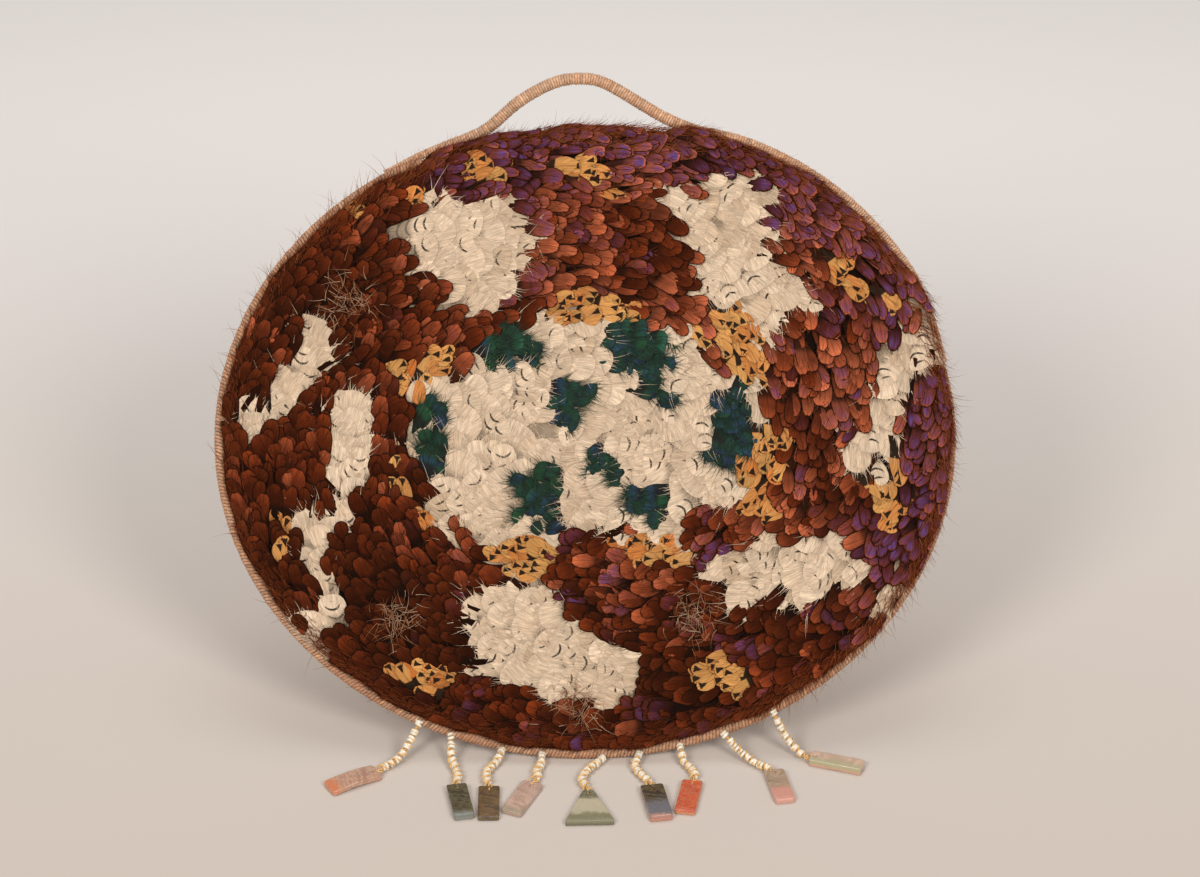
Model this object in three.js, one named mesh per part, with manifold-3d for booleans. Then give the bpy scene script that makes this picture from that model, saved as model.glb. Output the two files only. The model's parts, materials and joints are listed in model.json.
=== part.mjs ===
// A coiled oval basketry tray, faced with pheasant feathers, with a handle loop at the top and nine beaded
// strands that end in shell pendants. Millimetres, +Z up.
// The tray leans back as if on a stand. Its origin is the centre of its back, and its face looks towards -Y.
// The tray is laid out flat, x to the right, y up its face and z out of its face, and then turned as a group.

import * as THREE from "three";
import { mergeVertices } from "three/addons/utils/BufferGeometryUtils.js";
import Module from "manifold-3d";

const wasm = await Module();
wasm.setup();

// ---- driving dimensions ----

const LEAN = 32.5; // degrees from upright
const HALF_WIDTH = 255.8; // tray centre to the rim coil's centreline
const HALF_HEIGHT = 219.5;
const COIL_RADIUS = 4.2; // of the wrapped coil, which makes the rim and the handle
const GAP = 0.35; // between pieces that touch on the real tray
const RIM_CLEARANCE = 0.8; // from the coarser rows inside the rim to the rim coil

const SWELL = 3.5; // the rim bulges at the upper right
const SWELL_AT = 50; // degrees round the tray, from its right-hand end
const SWELL_SPREAD = 20;
const DIP = 7; // the rim sits one row lower under the handle loop
const DIP_RIGHT = [64, 84];
const DIP_LEFT = [114, 126];

const ROWS = 26; // rows of coil inside the rim, on the short axis
const KNOT_ROWS = 2;
const KNOT_FLAT = 0.88; // share of the start knot's back that is flat
const BANDS = 6;
const ROWS_PER_BAND = (ROWS - KNOT_ROWS) / BANDS;
const BASE_THICKNESS = 7.6;
const GROOVE = 1.4; // between two rows on the back
const BAND_SEGMENTS = 48;
const KNOT_SEGMENTS = 24;
const RIM_SEGMENTS = 96;

const HANDLE_LEFT_FOOT = [127, 121]; // degrees where the handle's coil lies against the rim
const HANDLE_RIGHT_FOOT = 70;
const HANDLE_RIGHT_SPANS = 8; // from its right foot down to its tip
const HANDLE_ARCH = [
  [-98.4, 206.2],
  [-71, 218],
  [-46.5, 238.5],
  [-23, 251.5],
  [-4, 254.8],
  [14, 251.5],
  [41.5, 235.5],
  [57, 226.5],
];
const HANDLE_STEPS = 74;
const TAPER_TO = 0.22; // the coil's ends thin down to this share of its radius
const TAPER_LEFT = [114, 127];
const TAPER_RIGHT = [12, 28];

const FEATHERS_FROM = 2 * COIL_RADIUS + GAP; // height of the feathers' underside over the tray's back
const FEATHER_DEPTH = 3.5;
const FEATHER_OVERHANG = 2; // past the rim coil's centreline
const FEATHER_SEGMENTS = 60;

const STRAND_RADIUS = 2.6;
const STRAND_STEPS = 6;
const HOLE_RADIUS = 1.2;
const HOLE_FROM_EDGE = 3.2;

const SURFACE =
  -HALF_HEIGHT * Math.cos(THREE.MathUtils.degToRad(LEAN)) +
  COIL_RADIUS * Math.sin(THREE.MathUtils.degToRad(LEAN)) -
  COIL_RADIUS; // what the lower rim and the pendants rest on

// ---- materials ----

function material(color, roughness) {
  return new THREE.MeshStandardMaterial({ color, roughness, metalness: 0 });
}

const coilFinish = () => material(0xc99a72, 0.75);
const chestnutFinish = () => material(0x6b2c14, 0.55);
const whiteFinish = () => material(0xe6d8c0, 0.8);
const goldFinish = () => material(0xb8843f, 0.6);
const greenFinish = () => material(0x10352a, 0.35);
const beadFinish = () => material(0xefe6d6, 0.45);

// ---- the tray's outline ----

function clean(degrees) {
  return ((degrees % 360) + 360) % 360;
}

function ovalRadius(degrees) {
  const angle = THREE.MathUtils.degToRad(degrees);
  return 1 / Math.hypot(Math.cos(angle) / HALF_WIDTH, Math.sin(angle) / HALF_HEIGHT);
}

function swell(degrees) {
  return SWELL * Math.exp(-(((clean(degrees) - SWELL_AT) / SWELL_SPREAD) ** 2));
}

function rimRadius(degrees) {
  const at = clean(degrees);
  const dip = THREE.MathUtils.smoothstep(at, ...DIP_RIGHT) * (1 - THREE.MathUtils.smoothstep(at, ...DIP_LEFT));
  return ovalRadius(at) + swell(at) - DIP * dip;
}

// How thick the handle's coil is at this place round the tray, as a share of its full radius.
function coilShare(degrees) {
  const left = 1 - THREE.MathUtils.smoothstep(degrees, ...TAPER_LEFT);
  const right = THREE.MathUtils.smoothstep(degrees, ...TAPER_RIGHT);
  return TAPER_TO + (1 - TAPER_TO) * Math.min(left, right);
}

function polar(radius, degrees, z = 0) {
  const angle = THREE.MathUtils.degToRad(degrees);
  return new THREE.Vector3(radius * Math.cos(angle), radius * Math.sin(angle), z);
}

// ---- shapes ----

// Turns a profile of [distance, height] points round the tray. radiusAt gives the real radius of a distance.
function ovalSolid(profile, radiusAt, segments) {
  const geometry = new THREE.LatheGeometry(profile.map(([x, z]) => new THREE.Vector2(x, z)), segments);
  const position = geometry.attributes.position;
  for (let i = 0; i < position.count; i += 1) {
    const distance = Math.hypot(position.getX(i), position.getZ(i));
    const degrees = THREE.MathUtils.radToDeg(Math.atan2(-position.getZ(i), position.getX(i)));
    const radius = distance < 1e-6 ? 0 : radiusAt(distance, degrees);
    const place = polar(radius, degrees, position.getY(i));
    position.setXYZ(i, place.x, place.y, place.z);
  }
  return geometry;
}

function circleShape(radius, sides) {
  const shape = new THREE.Shape();
  for (let i = 0; i < sides; i += 1) {
    const angle = ((i + 0.5) * 2 * Math.PI) / sides;
    const x = radius * Math.cos(angle);
    const y = radius * Math.sin(angle);
    if (i === 0) shape.moveTo(x, y);
    else shape.lineTo(x, y);
  }
  shape.closePath();
  return shape;
}

function tube(curve, radius, steps) {
  return new THREE.ExtrudeGeometry(circleShape(radius, 8), {
    steps,
    extrudePath: curve,
    bevelEnabled: false,
  });
}

function slab(outline, bottom, depth) {
  const shape = new THREE.Shape(outline.map(([x, y]) => new THREE.Vector2(x, y)));
  return new THREE.ExtrudeGeometry(shape, { depth, bevelEnabled: false }).translate(0, 0, bottom);
}

// The outline moved outwards by a distance.
function grown(outline, distance) {
  const points = outline.map(([x, y]) => new THREE.Vector2(x, y));
  if (THREE.ShapeUtils.isClockWise(points)) points.reverse();
  return points.map((point, i) => {
    const before = points[(i + points.length - 1) % points.length];
    const after = points[(i + 1) % points.length];
    const into = point.clone().sub(before).normalize();
    const out = after.clone().sub(point).normalize();
    const side = new THREE.Vector2(into.y + out.y, -into.x - out.x).normalize();
    const reach = distance / Math.max(0.35, side.x * into.y - side.y * into.x);
    return [point.x + side.x * reach, point.y + side.y * reach];
  });
}

function toSolid(geometry) {
  const bare = geometry.clone();
  bare.deleteAttribute("normal");
  bare.deleteAttribute("uv");
  const merged = mergeVertices(bare, 1e-4);
  return new wasm.Manifold(
    new wasm.Mesh({
      numProp: 3,
      vertProperties: new Float32Array(merged.attributes.position.array),
      triVerts: new Uint32Array(merged.index.array),
    }),
  );
}

function toGeometry(solid) {
  const mesh = solid.getMesh();
  const geometry = new THREE.BufferGeometry();
  geometry.setAttribute("position", new THREE.BufferAttribute(new Float32Array(mesh.vertProperties), 3));
  geometry.setIndex(new THREE.BufferAttribute(new Uint32Array(mesh.triVerts), 1));
  const flat = geometry.toNonIndexed();
  flat.computeVertexNormals();
  return flat;
}

// A feather slab with its neighbours' outlines cut out of it. A crumb left beyond a cut is dropped.
function featherSlab(outline, neighbours) {
  const below = FEATHERS_FROM - 1;
  const solid = neighbours.reduce(
    (left, neighbour) => left.subtract(toSolid(slab(grown(neighbour, GAP), below, FEATHER_DEPTH + 2))),
    toSolid(slab(outline, FEATHERS_FROM, FEATHER_DEPTH)),
  );
  const largest = solid.decompose().reduce((most, piece) => (piece.volume() > most.volume() ? piece : most));
  return toGeometry(largest);
}

function named(name, geometry, finish) {
  const mesh = new THREE.Mesh(geometry, finish);
  mesh.name = name;
  return mesh;
}

// ---- the coiled base ----

const rimInside = (degrees) => rimRadius(degrees) - COIL_RADIUS - RIM_CLEARANCE;
const shareOfRim = (share, degrees) => share * rimInside(degrees);
const shareGap = GAP / HALF_HEIGHT;

function startKnot() {
  const edge = KNOT_ROWS / ROWS;
  const profile = [
    [0, 0],
    [edge * KNOT_FLAT, 0],
    [edge, GROOVE],
    [edge, BASE_THICKNESS],
    [0, BASE_THICKNESS],
  ];
  return named("start_knot", ovalSolid(profile, shareOfRim, KNOT_SEGMENTS), coilFinish());
}

// Neighbouring rows of the coil, with a groove between each two on the back.
function coilBand(index) {
  const firstRow = KNOT_ROWS + index * ROWS_PER_BAND;
  const inner = firstRow / ROWS + shareGap;
  const outer = (firstRow + ROWS_PER_BAND) / ROWS;
  const profile = [[inner, GROOVE]];
  for (let row = 0; row < ROWS_PER_BAND; row += 1) {
    profile.push([(firstRow + row + 0.5) / ROWS, 0]);
    if (row < ROWS_PER_BAND - 1) profile.push([(firstRow + row + 1) / ROWS, GROOVE]);
  }
  profile.push([outer, GROOVE], [outer, BASE_THICKNESS], [inner, BASE_THICKNESS], [inner, GROOVE]);
  return named(`coil_rows_${index + 1}`, ovalSolid(profile, shareOfRim, BAND_SEGMENTS), coilFinish());
}

function rimCoil() {
  const far = 2 * COIL_RADIUS; // keeps the section's distances positive
  const sides = 8;
  const profile = [];
  for (let i = 0; i <= sides; i += 1) {
    const angle = ((i % sides) * 2 * Math.PI) / sides + Math.PI / sides;
    profile.push([far + COIL_RADIUS * Math.cos(angle), COIL_RADIUS * (1 + Math.sin(angle))]);
  }
  const radiusAt = (distance, degrees) => rimRadius(degrees) + distance - far;
  return named("rim_coil", ovalSolid(profile, radiusAt, RIM_SEGMENTS), coilFinish());
}

// ---- the handle ----

// The last row of the coil leaves the rim, arches over the top, and comes down to lie along the rim's outside.
function handlePath() {
  const beside = (degrees) =>
    polar(rimRadius(degrees) + COIL_RADIUS * (1 + coilShare(degrees)) + GAP, degrees, COIL_RADIUS);
  const points = HANDLE_LEFT_FOOT.map(beside);
  HANDLE_ARCH.forEach(([x, y]) => points.push(new THREE.Vector3(x, y, COIL_RADIUS)));
  for (let span = 0; span <= HANDLE_RIGHT_SPANS; span += 1) {
    points.push(beside(THREE.MathUtils.lerp(HANDLE_RIGHT_FOOT, TAPER_RIGHT[0], span / HANDLE_RIGHT_SPANS)));
  }
  return new THREE.CatmullRomCurve3(points, false, "centripetal");
}

// Thins the coil towards both ends, about its own centreline.
function thinned(geometry, curve) {
  const centres = curve.getSpacedPoints(HANDLE_STEPS * 4);
  const position = geometry.attributes.position;
  const vertex = new THREE.Vector3();
  for (let i = 0; i < position.count; i += 1) {
    vertex.fromBufferAttribute(position, i);
    const centre = centres.reduce((best, point) =>
      point.distanceToSquared(vertex) < best.distanceToSquared(vertex) ? point : best,
    );
    const degrees = THREE.MathUtils.radToDeg(Math.atan2(centre.y, centre.x));
    vertex.sub(centre).multiplyScalar(coilShare(degrees)).add(centre);
    position.setXYZ(i, vertex.x, vertex.y, vertex.z);
  }
  return geometry;
}

function handleLoop() {
  const curve = handlePath();
  return named("handle_loop", thinned(tube(curve, COIL_RADIUS, HANDLE_STEPS), curve), coilFinish());
}

// ---- the feather cover: patches of one colour, as outlines on the tray's face ----

const GREEN = {
  top_left: [[-78, 54], [-76, 68], [-57, 76], [-44, 68], [-31, 63], [-32, 51], [-49, 46], [-63, 51]],
  middle: [[-26, 33], [-13, 36], [3, 33], [-2, 23], [-9, 9], [-19, 13], [-27, 23]],
  top_right: [
    [11, 57], [20, 78], [42, 78], [55, 71], [66, 66], [62, 57], [57, 49], [60, 25], [46, 23], [37, 34], [36, 54],
    [24, 43],
  ],
  left: [[-115, 26], [-105, 28], [-99, 16], [-95, 1], [-95, -14], [-101, -22], [-110, -18], [-113, -2], [-111, 13]],
  right: [
    [90, 19], [99, 34], [109, 39], [112, 25], [114, 11], [121, 0], [113, -14], [99, -21], [86, -18], [91, -4],
  ],
  lower_left: [
    [-47, -30], [-33, -21], [-19, -18], [-24, -28], [-13, -38], [-21, -49], [-17, -62], [-35, -64], [-46, -54],
    [-40, -44],
  ],
  lower_middle: [[1, -15], [10, -7], [17, -16], [18, -25], [26, -32], [25, -38], [12, -31], [2, -24]],
  lower_right: [[27, -41], [38, -34], [52, -37], [56, -46], [53, -58], [39, -60], [28, -54]],
};

const GOLD = {
  top: [[-27, 196], [-12, 201], [2, 200], [17, 190], [10, 181], [-4, 178], [-15, 187]],
  inner_top: [[-30, 89], [-10, 99], [2, 103], [18, 96], [37, 90], [39, 82], [22, 80], [2, 84], [-18, 83]],
  inner_right: [
    [74, 75], [90, 71], [97, 89], [109, 92], [122, 80], [128, 61], [130, 47], [122, 35], [110, 46], [99, 57],
    [88, 65],
  ],
  upper_right: [[174, 129], [184, 122], [193, 122], [197, 108], [193, 96], [186, 105], [177, 103], [173, 115]],
  inner_left: [[-143, 45], [-124, 52], [-108, 58], [-93, 61], [-94, 52], [-108, 43], [-121, 31], [-128, 40]],
  left_edge: [[-217, -58], [-208, -42], [-200, -52], [-202, -65], [-207, -71], [-213, -62]],
  lower_left: [
    [-140, -28], [-131, -18], [-124, -21], [-122, -37], [-110, -42], [-108, -63], [-117, -52], [-127, -42],
  ],
  below_left: [
    [-73, -81], [-56, -77], [-42, -71], [-21, -76], [-32, -84], [-33, -96], [-42, -100], [-56, -96], [-68, -91],
  ],
  below: [
    [19, -73], [27, -69], [43, -69], [60, -71], [66, -80], [69, -87], [53, -88], [43, -86], [31, -89], [22, -82],
  ],
  right: [
    [118, -4], [132, -1], [144, -1], [135, -15], [137, -26], [126, -35], [131, -43], [135, -52], [123, -61],
    [113, -56], [104, -49], [110, -39], [109, -18],
  ],
  right_edge: [[205, -42], [210, -30], [221, -21], [225, -33], [221, -44], [226, -54], [212, -64], [205, -53]],
  bottom_left: [
    [-138, -157], [-122, -153], [-107, -160], [-89, -168], [-103, -172], [-117, -180], [-131, -178], [-139, -166],
  ],
  bottom_right: [[78, -159], [90, -153], [102, -157], [121, -166], [118, -175], [104, -182], [90, -175], [77, -170]],
};

const WHITE = {
  centre: [
    [-124, 1], [-117, 19], [-115, 31], [-103, 45], [-93, 49], [-86, 41], [-78, 52], [-70, 72], [-57, 77], [-35, 70],
    [-33, 85], [-14, 80], [0, 81], [10, 78], [27, 80], [45, 78], [66, 71], [78, 68], [86, 59], [88, 45], [99, 37],
    [111, 45], [118, 31], [123, 12], [125, 1], [116, -2], [109, -25], [109, -38], [92, -43], [76, -42], [71, -54],
    [64, -61], [73, -71], [43, -63], [27, -59], [22, -68], [6, -70], [-4, -59], [-16, -62], [-19, -74], [-33, -67],
    [-45, -70], [-59, -76], [-73, -75], [-80, -62], [-80, -49], [-87, -43], [-96, -48], [-94, -68], [-103, -61],
    [-107, -42], [-105, -23], [-117, -12], [-124, -9],
  ],
  upper_left: [
    [-105, 171], [-98, 160], [-87, 160], [-68, 165], [-54, 163], [-41, 157], [-32, 145], [-41, 134], [-48, 120],
    [-39, 103], [-59, 102], [-66, 94], [-84, 94], [-94, 112], [-103, 118], [-120, 112], [-112, 129], [-130, 143],
    [-127, 152], [-112, 158],
  ],
  upper_right: [
    [92, 191], [99, 178], [114, 179], [128, 173], [129, 165], [118, 160], [109, 162], [123, 150], [130, 150],
    [131, 129], [137, 115], [149, 110], [169, 89], [163, 84], [150, 91], [142, 84], [132, 84], [131, 70],
    [125, 73], [120, 89], [99, 94], [88, 101], [84, 115], [86, 131], [74, 136], [82, 141], [76, 150], [67, 152],
    [57, 172], [78, 166], [92, 166], [98, 169],
  ],
  left_high: [
    [-195, 89], [-185, 77], [-185, 68], [-171, 58], [-172, 52], [-186, 51], [-191, 35], [-203, 26], [-219, 15],
    [-223, 26], [-220, 38], [-206, 45], [-195, 59], [-190, 66], [-196, 80],
  ],
  left: [
    [-171, 31], [-164, 41], [-156, 35], [-145, 28], [-152, 18], [-152, 1], [-150, -12], [-151, -30], [-164, -31],
    [-166, -48], [-173, -56], [-184, -72], [-185, -93], [-179, -117], [-178, -129], [-186, -112], [-190, -96],
    [-197, -88], [-197, -68], [-199, -51], [-190, -57], [-180, -49], [-174, -40], [-175, -18], [-179, 0],
    [-174, 19],
  ],
  left_edge: [[-252, 11], [-247, 21], [-237, 22], [-229, 18], [-229, -2], [-234, 4], [-240, 12]],
  left_low: [[-198, -130], [-184, -127], [-186, -140], [-184, -149], [-193, -145]],
  right: [
    [236, 87], [245, 80], [248, 68], [245, 45], [231, 45], [221, 24], [213, 7], [213, -7], [216, -21], [208, -27],
    [205, -37], [193, -30], [181, -30], [186, -9], [184, 0], [200, 1], [210, 26], [213, 47], [221, 56], [224, 70],
    [234, 63], [238, 73],
  ],
  lower_right: [
    [85, -98], [87, -85], [102, -83], [114, -75], [127, -69], [139, -76], [156, -72], [177, -74], [175, -82],
    [187, -86], [198, -98], [184, -105], [170, -112], [156, -114], [144, -124], [137, -110], [121, -107],
    [109, -121], [99, -119], [102, -110], [90, -103],
  ],
  right_low: [[198, -107], [203, -110], [221, -105], [226, -100], [214, -119], [207, -124], [199, -117]],
  bottom: [
    [-87, -110], [-73, -107], [-66, -103], [-49, -101], [-33, -110], [-14, -119], [-16, -129], [-7, -138],
    [10, -140], [22, -150], [38, -152], [27, -159], [38, -168], [18, -185], [-9, -182], [-26, -180], [-35, -171],
    [-52, -168], [-63, -170], [-84, -157], [-77, -147], [-89, -133], [-87, -121], [-75, -117],
  ],
};

const greens = Object.values(GREEN);
const golds = Object.values(GOLD);
const whites = Object.values(WHITE);

function featherPatches(colour, patches, neighbours, finish) {
  return Object.entries(patches).map(([place, outline]) =>
    named(`feathers_${colour}_${place}`, featherSlab(outline, neighbours), finish()),
  );
}

function groundOutline() {
  const outline = [];
  for (let i = 0; i < FEATHER_SEGMENTS; i += 1) {
    const degrees = (360 * i) / FEATHER_SEGMENTS;
    const place = polar(ovalRadius(degrees) + swell(degrees) + FEATHER_OVERHANG, degrees);
    outline.push([place.x, place.y]);
  }
  return outline;
}

function featherGround() {
  const solid = featherSlab(groundOutline(), [...greens, ...golds, ...whites]);
  return named("feathers_chestnut", solid, chestnutFinish());
}

// ---- strands and pendants ----

// A strand's route is its centreline, [x, y, height over the surface], from the rim to its pendant.
// A pendant has its hole's place, the way it points (degrees from -Y towards +X), and its size.
const STRANDS = [
  {
    route: [[-117, -115.7, 21], [-121, -120, 14], [-127, -127, 6.5], [-135, -134.5, 3.2], [-141, -140, 3]],
    pendant: { hole: [-146, -144], points: -58, width: 15.5, length: 38, thickness: 3.5, color: 0xb98f72 },
  },
  {
    route: [[-93, -120.7, 13.3], [-92.5, -129, 6.5], [-89.5, -139, 3.2], [-87, -149, 3], [-88, -157, 3]],
    pendant: { hole: [-87.5, -163], points: 11, width: 14, length: 37, thickness: 4.6, color: 0x5d5a48 },
  },
  {
    route: [[-59, -125.6, 5.7], [-62, -133, 3.2], [-67, -142, 3], [-67.5, -150, 3], [-66, -157.5, 3]],
    pendant: { hole: [-65.5, -163.5], points: 1, width: 14.6, length: 37, thickness: 3.2, color: 0x584634 },
  },
  {
    route: [[-30, -129.4, 4], [-30.5, -135, 3], [-33, -142, 3], [-32.5, -148, 3], [-34.5, -153, 3]],
    pendant: { hole: [-36.5, -158.5], points: -22.5, width: 15, length: 38.5, thickness: 3.2, color: 0xb59c8a },
  },
  {
    route: [[10, -130.6, 3.2], [6, -136, 3], [0, -145, 3], [-1.5, -154, 3], [1.5, -162.5, 3]],
    pendant: { hole: [2.5, -169], points: 2, width: 34, length: 37, thickness: 4, color: 0x8c8f7d, apex: 7 },
  },
  {
    route: [[36.5, -129, 4.5], [35, -135, 3], [37, -143, 3], [42, -151, 3], [45, -158, 3]],
    pendant: { hole: [46.3, -164], points: 10, width: 15.8, length: 37.5, thickness: 5, color: 0x6d6154 },
  },
  {
    route: [[67, -124.6, 7.3], [69, -132, 3.5], [74, -139.5, 3], [76, -146, 3], [75, -151, 3]],
    pendant: { hole: [73.7, -157], points: -10, width: 14.2, length: 37, thickness: 3.6, color: 0xd9683a },
  },
  {
    route: [[99, -119.6, 15.2], [105.5, -123.5, 9], [113.5, -128.5, 4.5], [121, -135, 3], [127.5, -139.5, 3]],
    pendant: { hole: [131, -144], points: 10.5, width: 14.2, length: 37, thickness: 3.6, color: 0xa68b7c },
  },
  {
    route: [[132.5, -111.7, 27.4], [136.5, -114, 19.5], [142, -117, 11], [149, -121.5, 5], [154.5, -125.5, 3.2]],
    pendant: { hole: [160, -127], points: 71, width: 12.5, length: 37.5, thickness: 5, color: 0xb5a08c },
  },
];

function strandTube(route) {
  const points = route.map(([x, y, height]) => new THREE.Vector3(x, y, SURFACE + height));
  return tube(new THREE.CatmullRomCurve3(points, false, "centripetal"), STRAND_RADIUS, STRAND_STEPS);
}

// A flat plate with rounded corners, its hole at the origin and its length along +y.
function pendantPlate({ width, length, thickness, apex = width }) {
  const corner = 1.2;
  const near = -HOLE_FROM_EDGE;
  const far = near + length;
  const shape = new THREE.Shape();
  shape.moveTo(-apex / 2 + corner, near);
  shape.lineTo(apex / 2 - corner, near);
  shape.lineTo(apex / 2, near + corner);
  shape.lineTo(width / 2, far - corner);
  shape.lineTo(width / 2 - corner, far);
  shape.lineTo(-width / 2 + corner, far);
  shape.lineTo(-width / 2, far - corner);
  shape.lineTo(-apex / 2, near + corner);
  shape.closePath();
  shape.holes.push(new THREE.Path().absarc(0, 0, HOLE_RADIUS, 0, 2 * Math.PI, true));
  return new THREE.ExtrudeGeometry(shape, { depth: thickness, bevelEnabled: false, curveSegments: 5 });
}

function hangingStrand({ route, pendant }, index) {
  const strand = named(`strand_${index + 1}`, strandTube(route), beadFinish());
  const plate = named(`pendant_${index + 1}`, pendantPlate(pendant), material(pendant.color, 0.3));
  plate.position.set(...pendant.hole, SURFACE);
  plate.rotation.z = THREE.MathUtils.degToRad(180 + pendant.points);
  return [strand, plate];
}

// ---- assembly ----

const tray = new THREE.Group();
tray.rotation.x = THREE.MathUtils.degToRad(90 - LEAN);
tray.add(startKnot());
for (let index = 0; index < BANDS; index += 1) tray.add(coilBand(index));
tray.add(rimCoil(), handleLoop(), featherGround());
tray.add(...featherPatches("white", WHITE, [...greens, ...golds], whiteFinish));
tray.add(...featherPatches("gold", GOLD, greens, goldFinish));
tray.add(...featherPatches("green", GREEN, [], greenFinish));

const part = new THREE.Group();
part.add(tray, ...STRANDS.flatMap(hangingStrand));

export default part;
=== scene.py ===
"""A coiled basketry tray faced with pheasant feathers, with nine beaded strands that end in shell pendants.

The tray has a layout of its own, in millimetres: x to the right, y up its face and z out of its face, with
its back at z = 0. Strands and pendants are in the frame's own axes, in millimetres, heights over the floor.
"""

import json
import math

import bpy
import numpy as np
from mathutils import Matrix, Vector
from mathutils.bvhtree import BVHTree


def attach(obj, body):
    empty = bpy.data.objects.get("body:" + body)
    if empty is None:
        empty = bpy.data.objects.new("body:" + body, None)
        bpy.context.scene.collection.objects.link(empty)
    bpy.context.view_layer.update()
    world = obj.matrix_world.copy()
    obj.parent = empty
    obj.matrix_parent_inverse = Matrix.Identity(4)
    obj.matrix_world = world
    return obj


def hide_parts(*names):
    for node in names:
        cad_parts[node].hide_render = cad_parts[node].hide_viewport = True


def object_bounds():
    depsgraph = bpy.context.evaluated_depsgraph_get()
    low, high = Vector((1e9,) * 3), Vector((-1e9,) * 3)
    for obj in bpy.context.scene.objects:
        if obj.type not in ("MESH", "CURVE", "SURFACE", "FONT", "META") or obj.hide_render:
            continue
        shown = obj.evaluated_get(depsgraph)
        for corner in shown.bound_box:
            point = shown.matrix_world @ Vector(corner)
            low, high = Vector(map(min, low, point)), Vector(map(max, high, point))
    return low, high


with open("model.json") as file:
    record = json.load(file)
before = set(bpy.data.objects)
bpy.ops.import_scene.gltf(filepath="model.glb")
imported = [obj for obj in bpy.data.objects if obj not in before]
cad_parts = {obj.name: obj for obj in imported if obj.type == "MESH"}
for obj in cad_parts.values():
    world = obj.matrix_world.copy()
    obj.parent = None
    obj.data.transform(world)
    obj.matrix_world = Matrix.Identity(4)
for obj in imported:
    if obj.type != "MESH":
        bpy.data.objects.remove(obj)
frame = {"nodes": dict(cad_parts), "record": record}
CAD_BOX = [list(corner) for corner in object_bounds()]

MM = 0.001
NODES = frame["nodes"]
RECORD = frame["record"]
FLOOR = CAD_BOX[0][2]

# ---- the tray's layout, from its mount ----

OUT = -np.array(RECORD["mounts"][0]["axis"])
RIGHT = np.array([1.0, 0.0, 0.0])
UP = np.cross(OUT, RIGHT)
LAYOUT = np.array([RIGHT, UP, OUT])


def to_world(points):
    """Layout millimetres to metres in the frame."""
    return MM * np.asarray(points, float) @ LAYOUT


def to_layout(points):
    return np.asarray(points, float) @ LAYOUT.T / MM


def node_points(name):
    mesh = NODES[name].data
    flat = np.empty(3 * len(mesh.vertices))
    mesh.vertices.foreach_get("co", flat)
    return to_layout(flat.reshape(-1, 3))


def unit(vectors):
    return vectors / np.linalg.norm(vectors, axis=-1, keepdims=True)


def lengths_along(line, closed=False):
    """How far along a line each of its points is. A closed line also gets its way back to the start."""
    steps = np.diff(line, axis=0, append=line[:1]) if closed else np.diff(line, axis=0)
    return np.concatenate([[0], np.cumsum(np.linalg.norm(steps, axis=1))])


def points_at(places, along, line):
    """The points of a line at some places along it."""
    return np.stack([np.interp(places, along, values) for values in line.T], -1)


def compass(spots):
    """The angle of each spot round the tray, in degrees."""
    return np.degrees(np.arctan2(spots[..., 1], spots[..., 0]))


def towards(degrees):
    """Level directions of length 1 at the given angles."""
    angle = np.radians(degrees)
    return np.stack([np.cos(angle), np.sin(angle), np.zeros_like(angle)], -1)


def smooth(low, high, value):
    """Goes smoothly from 0 to 1 as value goes from low to high."""
    share = np.clip((value - low) / (high - low), 0, 1)
    return share * share * (3 - 2 * share)


def turn_between(low, high, fade, degrees):
    """1 between two angles round the tray, fading to 0 over some degrees."""
    middle = (low + high) / 2
    away = np.abs((degrees - middle + 180) % 360 - 180)
    return 1 - smooth(0, 1, (away - (high - low) / 2) / fade)


# ---- the rim, read from the CAD coil ----

COIL_RADIUS = 4.2
BACK_ROWS = 26


def rim_table():
    """The angles and radii of the rim coil's centreline."""
    points = node_points("rim_coil")
    angles = np.round(compass(points) * 4) / 4 % 360  # to a quarter of a degree
    radii = np.hypot(points[:, 0], points[:, 1])
    table = [(a, (radii[angles == a].min() + radii[angles == a].max()) / 2) for a in np.unique(angles)]
    return np.array(table)


RIM = rim_table()


def rim_radius(degrees):
    return np.interp(np.asarray(degrees) % 360, RIM[:, 0], RIM[:, 1], period=360)


def round_tray(radius, degrees, height=0.0):
    angle = np.radians(degrees)
    return np.stack([radius * np.cos(angle), radius * np.sin(angle), height + 0 * angle], -1)


# ---- meshes ----


def new_mesh(name, points, faces, material, attributes=None):
    """A mesh object from points in metres, with its own values on its points."""
    mesh = bpy.data.meshes.new(name)
    mesh.vertices.add(len(points))
    mesh.vertices.foreach_set("co", np.asarray(points, np.float32).ravel())
    faces = [np.asarray(block, np.int32) for block in faces if len(block)]
    sizes = np.concatenate([np.full(len(block), block.shape[1], np.int32) for block in faces])
    corners = np.concatenate([block.ravel() for block in faces])
    mesh.loops.add(len(corners))
    mesh.loops.foreach_set("vertex_index", corners)
    mesh.polygons.add(len(sizes))
    mesh.polygons.foreach_set("loop_start", np.concatenate([[0], np.cumsum(sizes)[:-1]]).astype(np.int32))
    mesh.update(calc_edges=True)
    mesh.validate()
    mesh.polygons.foreach_set("use_smooth", np.ones(len(mesh.polygons), bool))
    for key, values in (attributes or {}).items():
        values = np.asarray(values, np.float32)
        if values.shape[1] == 4:
            mesh.color_attributes.new(key, "FLOAT_COLOR", "POINT").data.foreach_set("color", values.ravel())
        else:
            mesh.attributes.new(key, "FLOAT_VECTOR", "POINT").data.foreach_set("vector", values.ravel())
    mesh.materials.append(material)
    piece = bpy.data.objects.new(name, mesh)
    bpy.context.scene.collection.objects.link(piece)
    return piece


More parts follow.
